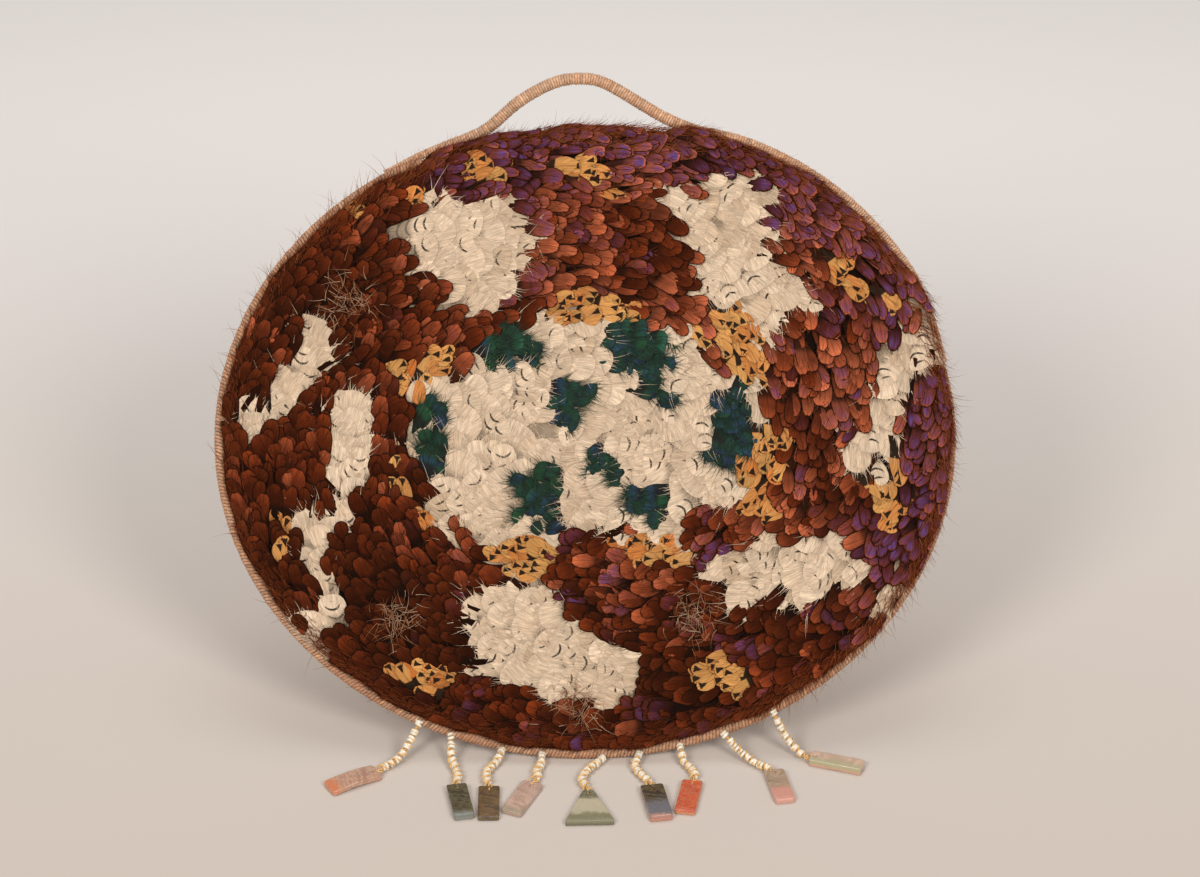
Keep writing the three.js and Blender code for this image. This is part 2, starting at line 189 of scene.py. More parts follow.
def grid_faces(rows, columns, closed=False):
    """Quads of a grid of rows by columns. A closed grid joins its last column to its first."""
    row = np.arange(rows - 1)[:, None] * columns
    column = np.arange(columns if closed else columns - 1)[None, :]
    after = (column + 1) % columns
    ahead = row + columns
    return np.stack([row + column, ahead + column, ahead + after, row + after], -1).reshape(-1, 4)


def repeat_faces(faces, count, points_each):
    """The same faces again for each of many copies."""
    return (faces[None] + points_each * np.arange(count)[:, None, None]).reshape(-1, faces.shape[1])


class Batch:
    """Collects many small shapes of one material into one mesh."""

    def __init__(self):
        self.points, self.faces, self.values, self.count = [], [], {}, 0

    def add(self, points, faces, **values):
        points = np.asarray(points, float).reshape(-1, 3)
        for block in faces if isinstance(faces, list) else [faces]:
            self.faces.append(np.asarray(block) + self.count)
        self.points.append(points)
        for key, value in values.items():
            self.values.setdefault(key, []).append(np.broadcast_to(value, (len(points), np.shape(value)[-1])))
        self.count += len(points)

    def mesh(self, name, material, laid_out=True):
        points = np.concatenate(self.points)
        points = to_world(points) if laid_out else points * MM
        values = {key: np.concatenate(value) for key, value in self.values.items()}
        return new_mesh(name, points, self.faces, material, values)


# ---- colour ----


def linear(red, green, blue):
    """A colour in 0 to 255 as the shader takes it."""
    share = np.array([red, green, blue]) / 255
    return np.where(share <= 0.04045, share / 12.92, ((share + 0.055) / 1.055) ** 2.4)


def rgba(colour):
    return (*[float(value) for value in colour[:3]], 1.0)


# ---- materials ----


class Material:
    """A node material in short words."""

    def __init__(self, name, **shader):
        self.material = bpy.data.materials.new(name)
        self.material.use_nodes = True
        self.nodes = self.material.node_tree.nodes
        self.shader = self.nodes["Principled BSDF"]
        for key, value in shader.items():
            self.shader.inputs[key.replace("_", " ")].default_value = value

    def put(self, source, socket):
        if isinstance(source, bpy.types.NodeSocket):
            self.material.node_tree.links.new(source, socket)
        else:
            socket.default_value = source

    def node(self, kind, inputs=(), **settings):
        node = self.nodes.new(kind)
        for key, value in settings.items():
            setattr(node, key, value)
        for key, value in dict(inputs).items():
            self.put(value, node.inputs[key])
        return node

    def value(self, name, part=None):
        """A value of the mesh, or one of its parts."""
        node = self.node("ShaderNodeAttribute", attribute_name=name)
        if part is None:
            return node.outputs["Color" if name == "tint" else "Vector"]
        split = self.node("ShaderNodeSeparateXYZ", {0: node.outputs["Vector"]})
        return split.outputs[part]

    def math(self, operation, first, second=0.0, third=0.0):
        node = self.node("ShaderNodeMath", {0: first, 1: second, 2: third}, operation=operation)
        return node.outputs[0]

    def step(self, value, low, high, start=0.0, end=1.0):
        """Goes smoothly from start to end as value goes from low to high."""
        inputs = {0: value, 1: low, 2: high, 3: start, 4: end}
        return self.node("ShaderNodeMapRange", inputs, interpolation_type="SMOOTHSTEP").outputs[0]

    def place(self, x=0.0, y=0.0, z=0.0):
        return self.node("ShaderNodeCombineXYZ", {0: x, 1: y, 2: z}).outputs[0]

    def object_place(self):
        return self.node("ShaderNodeTexCoord").outputs["Object"]

    def noise(self, vector, scale, detail=3.0, roughness=0.55, distortion=0.0):
        inputs = {"Vector": vector, "Scale": scale, "Detail": detail, "Roughness": roughness}
        node = self.node("ShaderNodeTexNoise", {**inputs, "Distortion": distortion})
        return node.outputs["Fac"]

    def mix(self, factor, first, second, blend="MIX"):
        node = self.node("ShaderNodeMix", data_type="RGBA", blend_type=blend)
        self.put(factor, node.inputs[0])
        self.put(rgba(first) if isinstance(first, np.ndarray) else first, node.inputs[6])
        self.put(rgba(second) if isinstance(second, np.ndarray) else second, node.inputs[7])
        return node.outputs[2]

    def brighten(self, colour, value):
        """The colour times a value."""
        inputs = {0: colour, "Scale": value}
        return self.node("ShaderNodeVectorMath", inputs, operation="SCALE").outputs[0]

    def bump(self, height, strength, distance):
        node = self.node("ShaderNodeBump", {"Strength": strength, "Distance": distance, "Height": height})
        self.put(node.outputs[0], self.shader.inputs["Normal"])

    def colour(self, source):
        self.put(source, self.shader.inputs["Base Color"])

    def roughness(self, source):
        self.put(source, self.shader.inputs["Roughness"])


# ---- camera ----

VIEW_DOWN = 28.5  # degrees
VIEW_DISTANCE = 2.2
VIEW_ASIDE = 0.0105
LENS = 93.9


def add_camera():
    camera = bpy.data.objects.new("camera", bpy.data.cameras.new("camera"))
    camera.data.lens = LENS
    camera.data.clip_end = 50
    down = math.radians(VIEW_DOWN)
    camera.location = (VIEW_ASIDE, -VIEW_DISTANCE * math.cos(down), VIEW_DISTANCE * math.sin(down))
    camera.rotation_euler = (math.pi / 2 - down, 0, 0)
    bpy.context.scene.collection.objects.link(camera)
    bpy.context.scene.camera = camera


# ---- strands: threads with disc beads and two cords woven along them ----

THREAD_DIAMETER = 1.2
THREAD_SPANS = 23
HOLE_FROM_EDGE = 3.2
BEAD_RADIUS = 2.75
BEAD_HEIGHT = 1.95
BEAD_PITCH = 1.04 * BEAD_HEIGHT
BEAD_HOLE = 0.62
BEAD_SIDES = 14
CORD_SIDES = 7
CORD_RADIUS = 0.56
STUB_RADIUS = 0.5
KNOT_RADIUS = 0.42
KNOT_REACH = 0.95  # of the knot's two turns round the hinge
GROUP_GAP = 1.6  # between two groups of beads, where the cords cross
STUB = 4.2  # of thread and bead between the rim and the first hinge
HINGE_ROOM = 1.3  # left bare on each side of the hinge, so that the beads clear each other when it lifts

# Each strand's route as the CAD has it, [x, y, height over the floor], and its pendant.
STRANDS = [
    {
        "route": [
            [-117, -115.7, 21], [-121, -120, 14], [-127, -127, 6.5], [-135, -134.5, 3.2], [-141, -140, 3],
        ],
        "hole": [-146, -144], "points": -58, "width": 15.5, "length": 38, "thickness": 3.5,
    },
    {
        "route": [
            [-93, -120.7, 13.3], [-92.5, -129, 6.5], [-89.5, -139, 3.2], [-87, -149, 3], [-88, -157, 3],
        ],
        "hole": [-87.5, -163], "points": 11, "width": 14, "length": 37, "thickness": 4.6,
    },
    {
        "route": [
            [-59, -125.6, 5.7], [-62, -133, 3.2], [-67, -142, 3], [-67.5, -150, 3], [-66, -157.5, 3],
        ],
        "hole": [-65.5, -163.5], "points": 1, "width": 14.6, "length": 37, "thickness": 3.2,
    },
    {
        "route": [
            [-30, -129.4, 4], [-30.5, -135, 3], [-33, -142, 3], [-32.5, -148, 3], [-34.5, -153, 3],
        ],
        "hole": [-36.5, -158.5], "points": -22.5, "width": 15, "length": 38.5, "thickness": 3.2,
    },
    {
        "route": [
            [10, -130.6, 3.2], [6, -136, 3], [0, -145, 3], [-1.5, -154, 3], [1.5, -162.5, 3],
        ],
        "hole": [2.5, -169], "points": 2, "width": 34, "length": 37, "thickness": 4, "apex": 7,
    },
    {
        "route": [
            [36.5, -129, 4.5], [35, -135, 3], [37, -143, 3], [42, -151, 3], [45, -158, 3],
        ],
        "hole": [46.3, -164], "points": 10, "width": 15.8, "length": 37.5, "thickness": 5,
    },
    {
        "route": [
            [67, -124.6, 7.3], [69, -132, 3.5], [74, -139.5, 3], [76, -146, 3], [75, -151, 3],
        ],
        "hole": [73.7, -157], "points": -10, "width": 14.2, "length": 37, "thickness": 3.6,
    },
    {
        "route": [
            [99, -119.6, 15.2], [105.5, -123.5, 9], [113.5, -128.5, 4.5], [121, -135, 3], [127.5, -139.5, 3],
        ],
        "hole": [131, -144], "points": 10.5, "width": 14.2, "length": 37, "thickness": 3.6,
    },
    {
        "route": [
            [132.5, -111.7, 27.4], [136.5, -114, 19.5], [142, -117, 11],
            [149, -121.5, 5], [154.5, -125.5, 3.2],
        ],
        "hole": [160, -127], "points": 71, "width": 12.5, "length": 37.5, "thickness": 5,
    },
]


def over_floor(points):
    """Points with heights over the floor, as frame millimetres."""
    return np.asarray(points, float) + [0, 0, FLOOR / MM]


def curve_through(points, spacing):
    """A smooth line through the points, as evenly spaced points."""
    points = np.asarray(points, float)
    ends = np.concatenate([[2 * points[0] - points[1]], points, [2 * points[-1] - points[-2]]])
    share = np.linspace(0, 1, 24, endpoint=False)[:, None]
    spans = []
    for a, b, c, d in zip(ends[:-3], ends[1:-2], ends[2:-1], ends[3:]):
        cubic = 2 * a - 5 * b + 4 * c - d, 3 * b - a - 3 * c + d
        spans.append(b + 0.5 * share * ((c - a) + share * (cubic[0] + share * cubic[1])))
    line = np.concatenate([*spans, points[-1:]])
    along = lengths_along(line)
    places = np.linspace(0, along[-1], max(2, round(along[-1] / spacing) + 1))
    return points_at(places, along, line)


def frames_along(line):
    """For each point of a line: its direction, a side direction level with the floor, and the third one."""
    ahead = unit(np.gradient(line, axis=0))
    side = unit(np.cross(ahead, [0, 0, 1]))
    return ahead, side, np.cross(side, ahead)


def tube_points(line, radius, sides):
    """Rings of points round a line."""
    _, side, third = frames_along(line)
    angle = np.arange(sides) * 2 * math.pi / sides
    radius = np.broadcast_to(radius, len(line))[:, None, None]
    ring = np.cos(angle)[None, :, None] * side[:, None] + np.sin(angle)[None, :, None] * third[:, None]
    return line[:, None] + radius * ring


def add_tube(batch, line, radius):
    """A cord with rounded ends."""
    sides = CORD_SIDES
    radius = np.broadcast_to(radius, len(line))
    ahead = unit(np.gradient(line, axis=0))
    first = line[0] - 0.5 * radius[0] * ahead[0]
    last = line[-1] + 0.5 * radius[-1] * ahead[-1]
    line = np.concatenate([[first], line, [last]])
    radius = np.concatenate([[0.45 * radius[0]], radius, [0.45 * radius[-1]]])
    rings = tube_points(line, radius, sides)
    rows = len(line)
    faces = grid_faces(rows, sides, closed=True)
    caps = np.array([np.arange(sides), np.arange(rows * sides - 1, (rows - 1) * sides - 1, -1)])
    batch.add(rings, [faces, caps])


def bead_profile():
    """Half of a disc bead with a hole, as distance and height, worn round at its edges."""
    corner = 0.35
    half = BEAD_HEIGHT / 2
    outer = [
        (BEAD_RADIUS - corner + corner * math.sin(angle), half - corner + corner * math.cos(angle))
        for angle in np.radians([0, 30, 60, 90])
    ]
    upper = [(BEAD_HOLE, half - 0.1), (BEAD_HOLE + 0.15, half), *outer]
    return np.array(upper + [(distance, -height) for distance, height in reversed(upper)])


def add_bead(batch, centre, ahead, random):
    """A disc bead, a little tilted and a little out of round."""
    profile = bead_profile()
    axis = unit(ahead + random.normal(0, 0.13, 3))
    side = unit(np.cross(axis, [0, 0, 1]))
    third = np.cross(side, axis)
    angle = np.arange(BEAD_SIDES) * 2 * math.pi / BEAD_SIDES
    lumpy = 1 + 0.05 * np.sin(2 * angle + random.uniform(0, 6))
    lumpy = lumpy + 0.03 * np.sin(5 * angle + random.uniform(0, 6))
    size = random.uniform(0.92, 1.04)
    ring = (np.cos(angle)[:, None] * side + np.sin(angle)[:, None] * third) * lumpy[:, None]
    points = centre + size * (profile[:, None, :1] * ring[None] + profile[:, None, 1:] * axis)
    faces = grid_faces(len(profile) + 1, BEAD_SIDES, closed=True) % (len(profile) * BEAD_SIDES)
    tint = rgba(linear(240, 232, 214) * random.uniform(0.86, 1.0))
    batch.add(points, faces[:, ::-1], tint=tint)


def strand_line(strand, spacing):
    """The thread from its first hinge to the middle of its pendant's hole."""
    end = [*strand["hole"], strand["thickness"] / 2]
    return curve_through(over_floor([*strand["route"], end]), spacing)


def make_strand(index, strand, materials):
    """A thread with its beads and cords, which swing, and the bit of it above the hinge, which doesn't."""
    name = f"strand_{index}"
    random = np.random.default_rng(100 + index)
    line = strand_line(strand, 0.5)
    ahead, side, over = frames_along(line)
    along = lengths_along(line)
    length = along[-1]

    thread = bpy.data.curves.new(f"thread_{index}", "CURVE")
    thread.dimensions = "3D"
    thread.bevel_depth = THREAD_DIAMETER / 2 * MM
    thread.bevel_resolution = 3
    thread.use_fill_caps = True
    spline = thread.splines.new("POLY")
    route = strand_line(strand, length / THREAD_SPANS)
    spline.points.add(len(route) - 1)
    spline.points.foreach_set("co", np.c_[route * MM, np.ones(len(route))].astype(np.float32).ravel())
    thread.materials.append(materials["cord"])
    thread_piece = bpy.data.objects.new(f"thread_{index}", thread)
    bpy.context.scene.collection.objects.link(thread_piece)

    beads = Batch()
    to_hole = length - HOLE_FROM_EDGE - 2.0
    at = HINGE_ROOM + BEAD_HEIGHT / 2
    crossings = []
    while at + 1.2 * BEAD_HEIGHT < to_hole:
        for _ in range(2):
            place = points_at(at, along, line) + random.normal(0, 0.15, 3) * [1, 1, 0.3]
            add_bead(beads, place, ahead[np.searchsorted(along, at)], random)
            at += BEAD_PITCH
        crossings.append(at + GROUP_GAP / 2 - BEAD_HEIGHT / 2)
        at += GROUP_GAP
    beads_piece = beads.mesh(f"beads_{index}", materials["bead"], laid_out=False)

    cords = Batch()
    pitch = 2 * BEAD_PITCH + GROUP_GAP
    phase = (along - crossings[0]) / pitch * math.pi
    open_at_start = smooth(0, 3.5, along)[:, None]
    open_at_end = smooth(0, 4, length - along)[:, None]
    for sign in (1, -1):
        wave = np.sin(phase)[:, None] * sign
        wobble = 1 + 0.12 * np.sin(along * 0.9 + index + sign)[:, None]
        swing = 1.05 * (BEAD_RADIUS + 0.25) * wobble * wave * side
        crest = np.cos(phase)[:, None]
        lift = (0.35 + (BEAD_RADIUS - 0.4) * crest**2 * np.sign(crest) * sign) * over
        lift = np.maximum(lift, -0.9 * over * (lift < 0))
        path = line + open_at_start * open_at_end * (swing + lift)
        path[:, 2] = np.maximum(path[:, 2], FLOOR / MM + 0.5)
        add_tube(cords, path[::2], CORD_RADIUS + 0.06 * np.sin(along[::2] * 3 + sign))
    cords_piece = cords.mesh(f"side_cords_{index}", materials["cord"], laid_out=False)

    stub = Batch()
    back = unit(line[0] - line[3])
    root = line[0] + back * (STUB + 2) + [0, 0, 0.6]
    short = curve_through([root, line[0] + 0.5 * STUB * back + [0, 0, 0.5], line[0]], 0.7)
    add_tube(stub, short, STUB_RADIUS)
    turn = np.linspace(0, 4 * math.pi, 40)[:, None]
    round_hinge = KNOT_REACH * np.cos(turn) * side[0] + KNOT_REACH * np.sin(turn) * over[0]
    add_tube(stub, line[0] + back * 0.2 + (round_hinge + 0.5 * np.sin(turn / 2) * ahead[0]), KNOT_RADIUS)
    stub_piece = stub.mesh(f"knot_{index}", materials["cord"], laid_out=False)
    top = Batch()
    add_bead(top, line[0] + back * (HINGE_ROOM + 0.5 * BEAD_HEIGHT), -back, random)
    add_bead(top, line[0] + back * (HINGE_ROOM + 1.5 * BEAD_HEIGHT + 0.1) + [0, 0, 0.3], -back, random)
    top_piece = top.mesh(f"top_beads_{index}", materials["bead"], laid_out=False)

    for piece in (thread_piece, beads_piece, cords_piece):
        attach(piece, name)
    for piece in (stub_piece, top_piece):
        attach(piece, "tray")
    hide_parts(name)
    return thread_piece, [beads_piece, cords_piece], float(length * MM), [float(v) for v in line[0] * MM]


# ---- pendants ----


def rounded_outline(strand, corner, count):
    """Points round a pendant's edge, evenly spaced, with its hole at the origin and its length along +y."""
    apex = strand.get("apex", strand["width"]) / 2
    wide = strand["width"] / 2
    near = -HOLE_FROM_EDGE
    far = near + strand["length"]
    corners = [(apex, near), (wide, far), (-wide, far), (-apex, near)]
    line = []
    for i, here in enumerate(corners):
        here = np.array(here)
        before = np.array(corners[i - 1]) - here
        after = np.array(corners[(i + 1) % 4]) - here
        start = here + corner * before / np.linalg.norm(before)
        end = here + corner * after / np.linalg.norm(after)
        for share in np.linspace(0, 1, 7):
            line.append((1 - share) ** 2 * start + 2 * share * (1 - share) * here + share**2 * end)
    line = np.array([*line, line[0]])
    along = lengths_along(line)
    places = np.arange(count) * along[-1] / count
    return points_at(places, along, line)


PENDANT_EDGE_POINTS = 96
PENDANT_BEVEL = 0.55
DRILL_RADIUS = 1.15


def make_pendant(index, strand, material, corner=1.6, bow=0.0):
    """A polished plate of shell with a drilled hole and worn edges."""
    count = PENDANT_EDGE_POINTS
    bevel = PENDANT_BEVEL
    thickness = strand["thickness"]
    outline = rounded_outline(strand, corner, count)
    centre = np.array([0, strand["length"] / 2 - HOLE_FROM_EDGE])
    inner = outline + (centre - outline) * (bevel / np.linalg.norm(centre - outline, axis=1))[:, None]
    start = np.arctan2(outline[:, 1], outline[:, 0])
    hole = np.stack([np.cos(start), np.sin(start)], -1)
    mouth = DRILL_RADIUS + 0.3
    drill = hole * DRILL_RADIUS
    rings = [(drill, thickness / 2), (drill, thickness - 0.3), (hole * mouth, thickness)]
    for share in (0.12, 0.3, 0.5, 0.7, 0.87):
        rings.append((hole * mouth * (1 - share) + inner * share, thickness))
    for angle in np.radians([0, 30, 60, 90]):
        share = math.sin(angle)
        rings.append((inner * (1 - share) + outline * share, thickness - bevel * (1 - math.cos(angle))))
    upper = [np.c_[flat, np.full(count, height)] for flat, height in rings]
    lower = [np.c_[ring[:, :2], thickness - ring[:, 2]] for ring in reversed(upper[1:])]
    points = np.concatenate([*upper, *lower])
    along = points[:, 1] / strand["length"]
    across = points[:, 0] / strand["width"]
    share_up = points[:, 2] / thickness
    wavy = 0.12 * np.sin(7 * along + index) + 0.1 * np.sin(9 * across + 2 * index)
    points[:, 2] += wavy * (share_up - 0.5)
    points[:, 2] += bow * np.sin(np.pi * np.clip(along + 0.09, 0, 1))
    turn = math.radians(180 + strand["points"])
    spin = np.array([[math.cos(turn), math.sin(turn)], [-math.sin(turn), math.cos(turn)]])
    placed = np.c_[points[:, :2] @ spin + strand["hole"], points[:, 2] + FLOOR / MM]
    rows = len(upper) + len(lower)
    faces = grid_faces(rows, count, closed=True)
    last = (rows - 1) * count
    column = np.arange(count)
    after = (column + 1) % count
    closing = np.stack([last + column, column, after, last + after], -1)
    faces = np.concatenate([faces, closing])
    piece = new_mesh(f"shell_{index}", placed * MM, [faces], material, {"blade": points})
    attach(piece, f"pendant_{index}")
    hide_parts(f"pendant_{index}")
    return piece


SHELL_ROUGHNESS = 0.22

# Each pendant's material: its name and slot, its three colours and its cut edge's, the scale of its clouds,
# how strong its growth bands and its pale flecks are, and parts of other colours. Each part is the axis
# (0 across, 1 along), where it starts and where it is full, in millimetres, and its colour.
SHELLS = [
    ("pink_shell", "pink_shell", (190, 150, 126), (170, 126, 106), (222, 196, 164), (206, 150, 124),
     0.16, 0.5, 0.0, [(1, 24, 32, (206, 120, 76))]),
    ("dark_shell", "dark_shell", (96, 88, 64), (66, 58, 40), (126, 124, 104), (140, 138, 130),
     0.16, 0.5, 0.0, [(1, 27, 33, (124, 128, 122))]),
    ("brown_shell", "dark_shell", (104, 80, 54), (70, 56, 38), (138, 112, 68), (104, 90, 66),
     0.12, 0.5, 0.0, []),
    ("tan_shell", "pink_shell", (196, 164, 148), (176, 144, 128), (122, 100, 90), (190, 156, 140),
     0.1, 0.2, 0.0, [(1, 24, 34, (150, 136, 116))]),
    ("silver_shell", "silver_shell", (108, 108, 84), (78, 80, 58), (150, 152, 128), (104, 98, 76),
     0.09, 0.5, 0.0, [(1, 4, 10, (192, 182, 156)), (1, 22, 26, (116, 114, 86))]),
    ("purple_shell", "dark_shell", (92, 78, 56), (58, 46, 42), (136, 126, 78), (204, 142, 120),
     0.14, 0.5, 0.0, [(1, 12, 22, (116, 116, 122)), (1, 30, 34, (186, 130, 112))]),
    ("coral_shell", "coral_shell", (204, 90, 50), (186, 72, 38), (200, 172, 148), (212, 156, 112),
     0.2, 0.15, 0.8, []),
    ("grey_shell", "pink_shell", (176, 150, 128), (146, 126, 100), (196, 166, 144), (204, 158, 140),
     0.09, 0.5, 0.0, [(1, 15, 22, (214, 152, 136))]),
    ("rose_shell", "pink_shell", (208, 172, 150), (188, 154, 132), (176, 172, 132), (220, 156, 138),
     0.1, 0.6, 0.0, [(0, -1, 5, (170, 166, 128))]),
]


def shell_material(name, colours, scale, bands, flecks, parts):
    """Polished shell: clouds and growth bands of three colours, and the paler cut edge below its face."""
    base, second, third, edge = [linear(*colour) for colour in colours]
    material = Material(name, Roughness=SHELL_ROUGHNESS, Coat_Weight=0.5, Coat_Roughness=0.12, IOR=1.53)
    place = material.value("blade")
    clouds = material.noise(place, scale, 4, 0.6, 1.4)
    z = material.value("blade", 2)
    x = material.value("blade", 0)
    slanted = material.math("MULTIPLY_ADD", x, 0.35, material.value("blade", 1))
    wavy = material.math("MULTIPLY_ADD", clouds, 9.0, slanted)
    band = material.noise(material.place(0.0, wavy, 0.0), 0.5, 4, 0.7, 0.3)
    colour = material.mix(material.step(clouds, 0.42, 0.58), base, second)
    colour = material.mix(material.step(band, 0.5, 0.62, 0.0, bands), colour, third)
    for axis, start, full, part in parts:
        reach = material.math("MULTIPLY_ADD", clouds, 14.0, material.value("blade", axis))
        colour = material.mix(material.step(reach, start + 7, full + 7, 0.0, 0.85), colour, linear(*part))
    if flecks:
        pale = material.noise(place, 0.62, 3, 0.7, 2.2)
        colour = material.mix(material.step(pale, 0.56, 0.6, 0.0, flecks), colour, third)
    colour = material.mix(material.step(z, 1.4, 3.0, 0.65, 0.0), colour, edge)
    specks = material.noise(place, 1.9, 2, 0.5)
    colour = material.brighten(colour, material.step(specks, 0.25, 0.5, 0.7, 1.0))
    material.colour(colour)
    material.roughness(material.step(clouds, 0.3, 0.7, SHELL_ROUGHNESS - 0.06, SHELL_ROUGHNESS + 0.14))
    material.bump(material.noise(place, 0.9, 3), 0.15, 0.0004)
    return material.material


def cord_material():
    material = Material("golden_cord", Roughness=0.55, Sheen_Weight=0.3)
    place = material.object_place()
    twist = material.noise(place, 1400, 2)
    colour = material.mix(material.step(twist, 0.35, 0.65), linear(204, 146, 68), linear(230, 184, 108))
    material.colour(colour)
    material.bump(twist, 0.5, 0.0003)
    return material.material


def bead_material():
    material = Material("shell_beads", Roughness=0.4, Coat_Weight=0.15)
    place = material.object_place()
    chalk = material.noise(place, 700, 4)
    worn = material.step(chalk, 0.42, 0.62, 0.0, 0.5)
    material.colour(material.mix(worn, material.value("tint"), linear(214, 192, 160)))
    material.bump(chalk, 0.35, 0.0004)
    return material.material


def make_strands():
    materials = {"cord": cord_material(), "bead": bead_material()}
    shells = [shell_material(row[0], row[2:6], *row[6:]) for row in SHELLS]
    shapes = {1: {"bow": 1.6, "corner": 2.0}, 8: {"corner": 2.6}, 9: {"bow": 0.4}, 4: {"corner": 2.0}}
    for index, (strand, shell) in enumerate(zip(STRANDS, shells), 1):
        pendant = make_pendant(index, strand, shell, **shapes.get(index, {}))
        thread, pieces, length, start = make_strand(index, strand, materials)


# ---- the wrapped rim and handle ----

WRAP_PITCH = 2.4
HANDLE_PITCH = 1.9
WRAP_STEPS = 5
WRAP_SLANT = 3  # wraps that one turn round the coil passes
WRAP_SIDES = 18


def wrap_material():
    material = Material("wrapped_root", Roughness=0.62, Specular_IOR_Level=0.35)
    place = material.object_place()
    fibre = material.noise(place, 520, 4, 0.65)
    stain = material.noise(place, 22, 3, 0.6)
    tint = material.value("tint")
    colour = material.mix(material.step(fibre, 0.35, 0.7, 0.0, 0.55), tint, linear(150, 104, 74), "MULTIPLY")
    colour = material.mix(material.step(stain, 0.45, 0.7, 0.0, 0.4), colour, linear(168, 112, 80))
    material.colour(colour)
    material.roughness(material.step(fibre, 0.3, 0.7, 0.5, 0.75))
    material.bump(fibre, 0.3, 0.0004)
    return material.material


def wrap_tints(wraps, random, base):
    shade = random.normal(1.0, 0.1, wraps)[:, None]
    warm = random.normal(0, 0.035, (wraps, 1)) * [1, 0, -1]
    return np.clip(base * shade + base * warm, 0, 1)


def wrap_ridge(phase):
    """How far one wrap stands out, from the groove before it to the groove after it."""
    return 0.86 + 0.2 * np.sin(np.pi * phase) ** 0.6


def ring_tints(tints, each, shade, sides):
    """Each wrap's tint for all the points of its rings, times each ring's painted shade, which darkens the
    grooves.
    """
    tints = np.repeat(tints, each, 0)[:len(shade)] * shade[:, None]
    tints = np.broadcast_to(tints[:, None], (len(shade), sides, 3)).reshape(-1, 3)
    return np.c_[tints, np.ones(len(tints))]


def make_rim(material):
    """The rim coil, wrapped aslant: its rings join round the coil a few wraps on."""
    random = np.random.default_rng(7)
    fine = np.arange(0, 360, 0.25)
    line = round_tray(rim_radius(fine), fine)
    along = lengths_along(line, closed=True)
    wraps = round(along[-1] / WRAP_PITCH)
    steps = wraps * WRAP_STEPS
    step = np.arange(steps)[:, None]
    side = np.arange(WRAP_SIDES)[None, :]
    jump = WRAP_SLANT * WRAP_STEPS
    place = (step + jump * side / WRAP_SIDES) % steps
    degrees = np.interp(place / steps * along[-1], along, [*fine, 360])
    phase = np.arange(WRAP_STEPS) / WRAP_STEPS
    wobble = np.repeat(random.normal(1, 0.02, wraps), WRAP_STEPS)
    radius = COIL_RADIUS * (np.tile(wrap_ridge(phase), wraps) * wobble)[:, None]
    angle = 2 * np.pi * side / WRAP_SIDES
    outwards = radius * np.cos(angle)
    upwards = radius * np.sin(angle)
    points = round_tray(rim_radius(degrees) + outwards, degrees, COIL_RADIUS + upwards)
    # Painted shade: the ring in the groove before each wrap is darker.
    groove = np.where(np.tile(phase == 0, wraps), 0.3, 1.0)
    tints = ring_tints(wrap_tints(wraps, random, linear(204, 160, 126)), WRAP_STEPS, groove, WRAP_SIDES)
    row = step * WRAP_SIDES
    ahead = (step + 1) % steps * WRAP_SIDES
    total = steps * WRAP_SIDES
    last = side == WRAP_SIDES - 1
    over = np.where(last, (row + jump * WRAP_SIDES) % total, row)
    over_ahead = np.where(last, (ahead + jump * WRAP_SIDES) % total, ahead)
    after = (side + 1) % WRAP_SIDES
    faces = np.stack([over + after, over_ahead + after, ahead + side, row + side], -1).reshape(-1, 4)
    piece = new_mesh("wrapped_rim", to_world(points.reshape(-1, 3)), [faces], material, {"tint": tints})
    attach(piece, "tray")
    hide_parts("rim_coil")


# The handle's coil lies against the rim at some angles on the left and on the right, where its ends taper
# away, and arches over between them. All as the CAD has it.
HANDLE_GAP = 0.35
HANDLE_LEFT = (127, 121)
HANDLE_RIGHT = (70, 12)
HANDLE_RIGHT_SPANS = 8
HANDLE_ARCH = [
    (-98.4, 206.2), (-71, 218), (-46.5, 238.5), (-23, 251.5),
    (-4, 254.8), (14, 251.5), (41.5, 235.5), (57, 226.5),
]
TAPER_TO = 0.22  # of the coil's full radius
TAPER_LEFT = (114, 127)
TAPER_RIGHT = (12, 28)


def coil_share(degrees):
    """How thick the handle's coil is at this angle, as a share of its full radius."""
    left = 1 - smooth(*TAPER_LEFT, degrees)
    right = smooth(*TAPER_RIGHT, degrees)
    return TAPER_TO + (1 - TAPER_TO) * np.minimum(left, right)


def beside_rim(degrees):
    """A point of the handle's centreline where it lies against the rim."""
    reach = rim_radius(degrees) + COIL_RADIUS * (1 + coil_share(degrees)) + HANDLE_GAP
    return round_tray(reach, degrees, COIL_RADIUS)


def handle_line(spacing):
    points = [beside_rim(degrees) for degrees in HANDLE_LEFT]
    points += [np.array([x, y, COIL_RADIUS]) for x, y in HANDLE_ARCH]
    points += [beside_rim(degrees) for degrees in np.linspace(*HANDLE_RIGHT, HANDLE_RIGHT_SPANS + 1)]
    return curve_through(points, spacing)


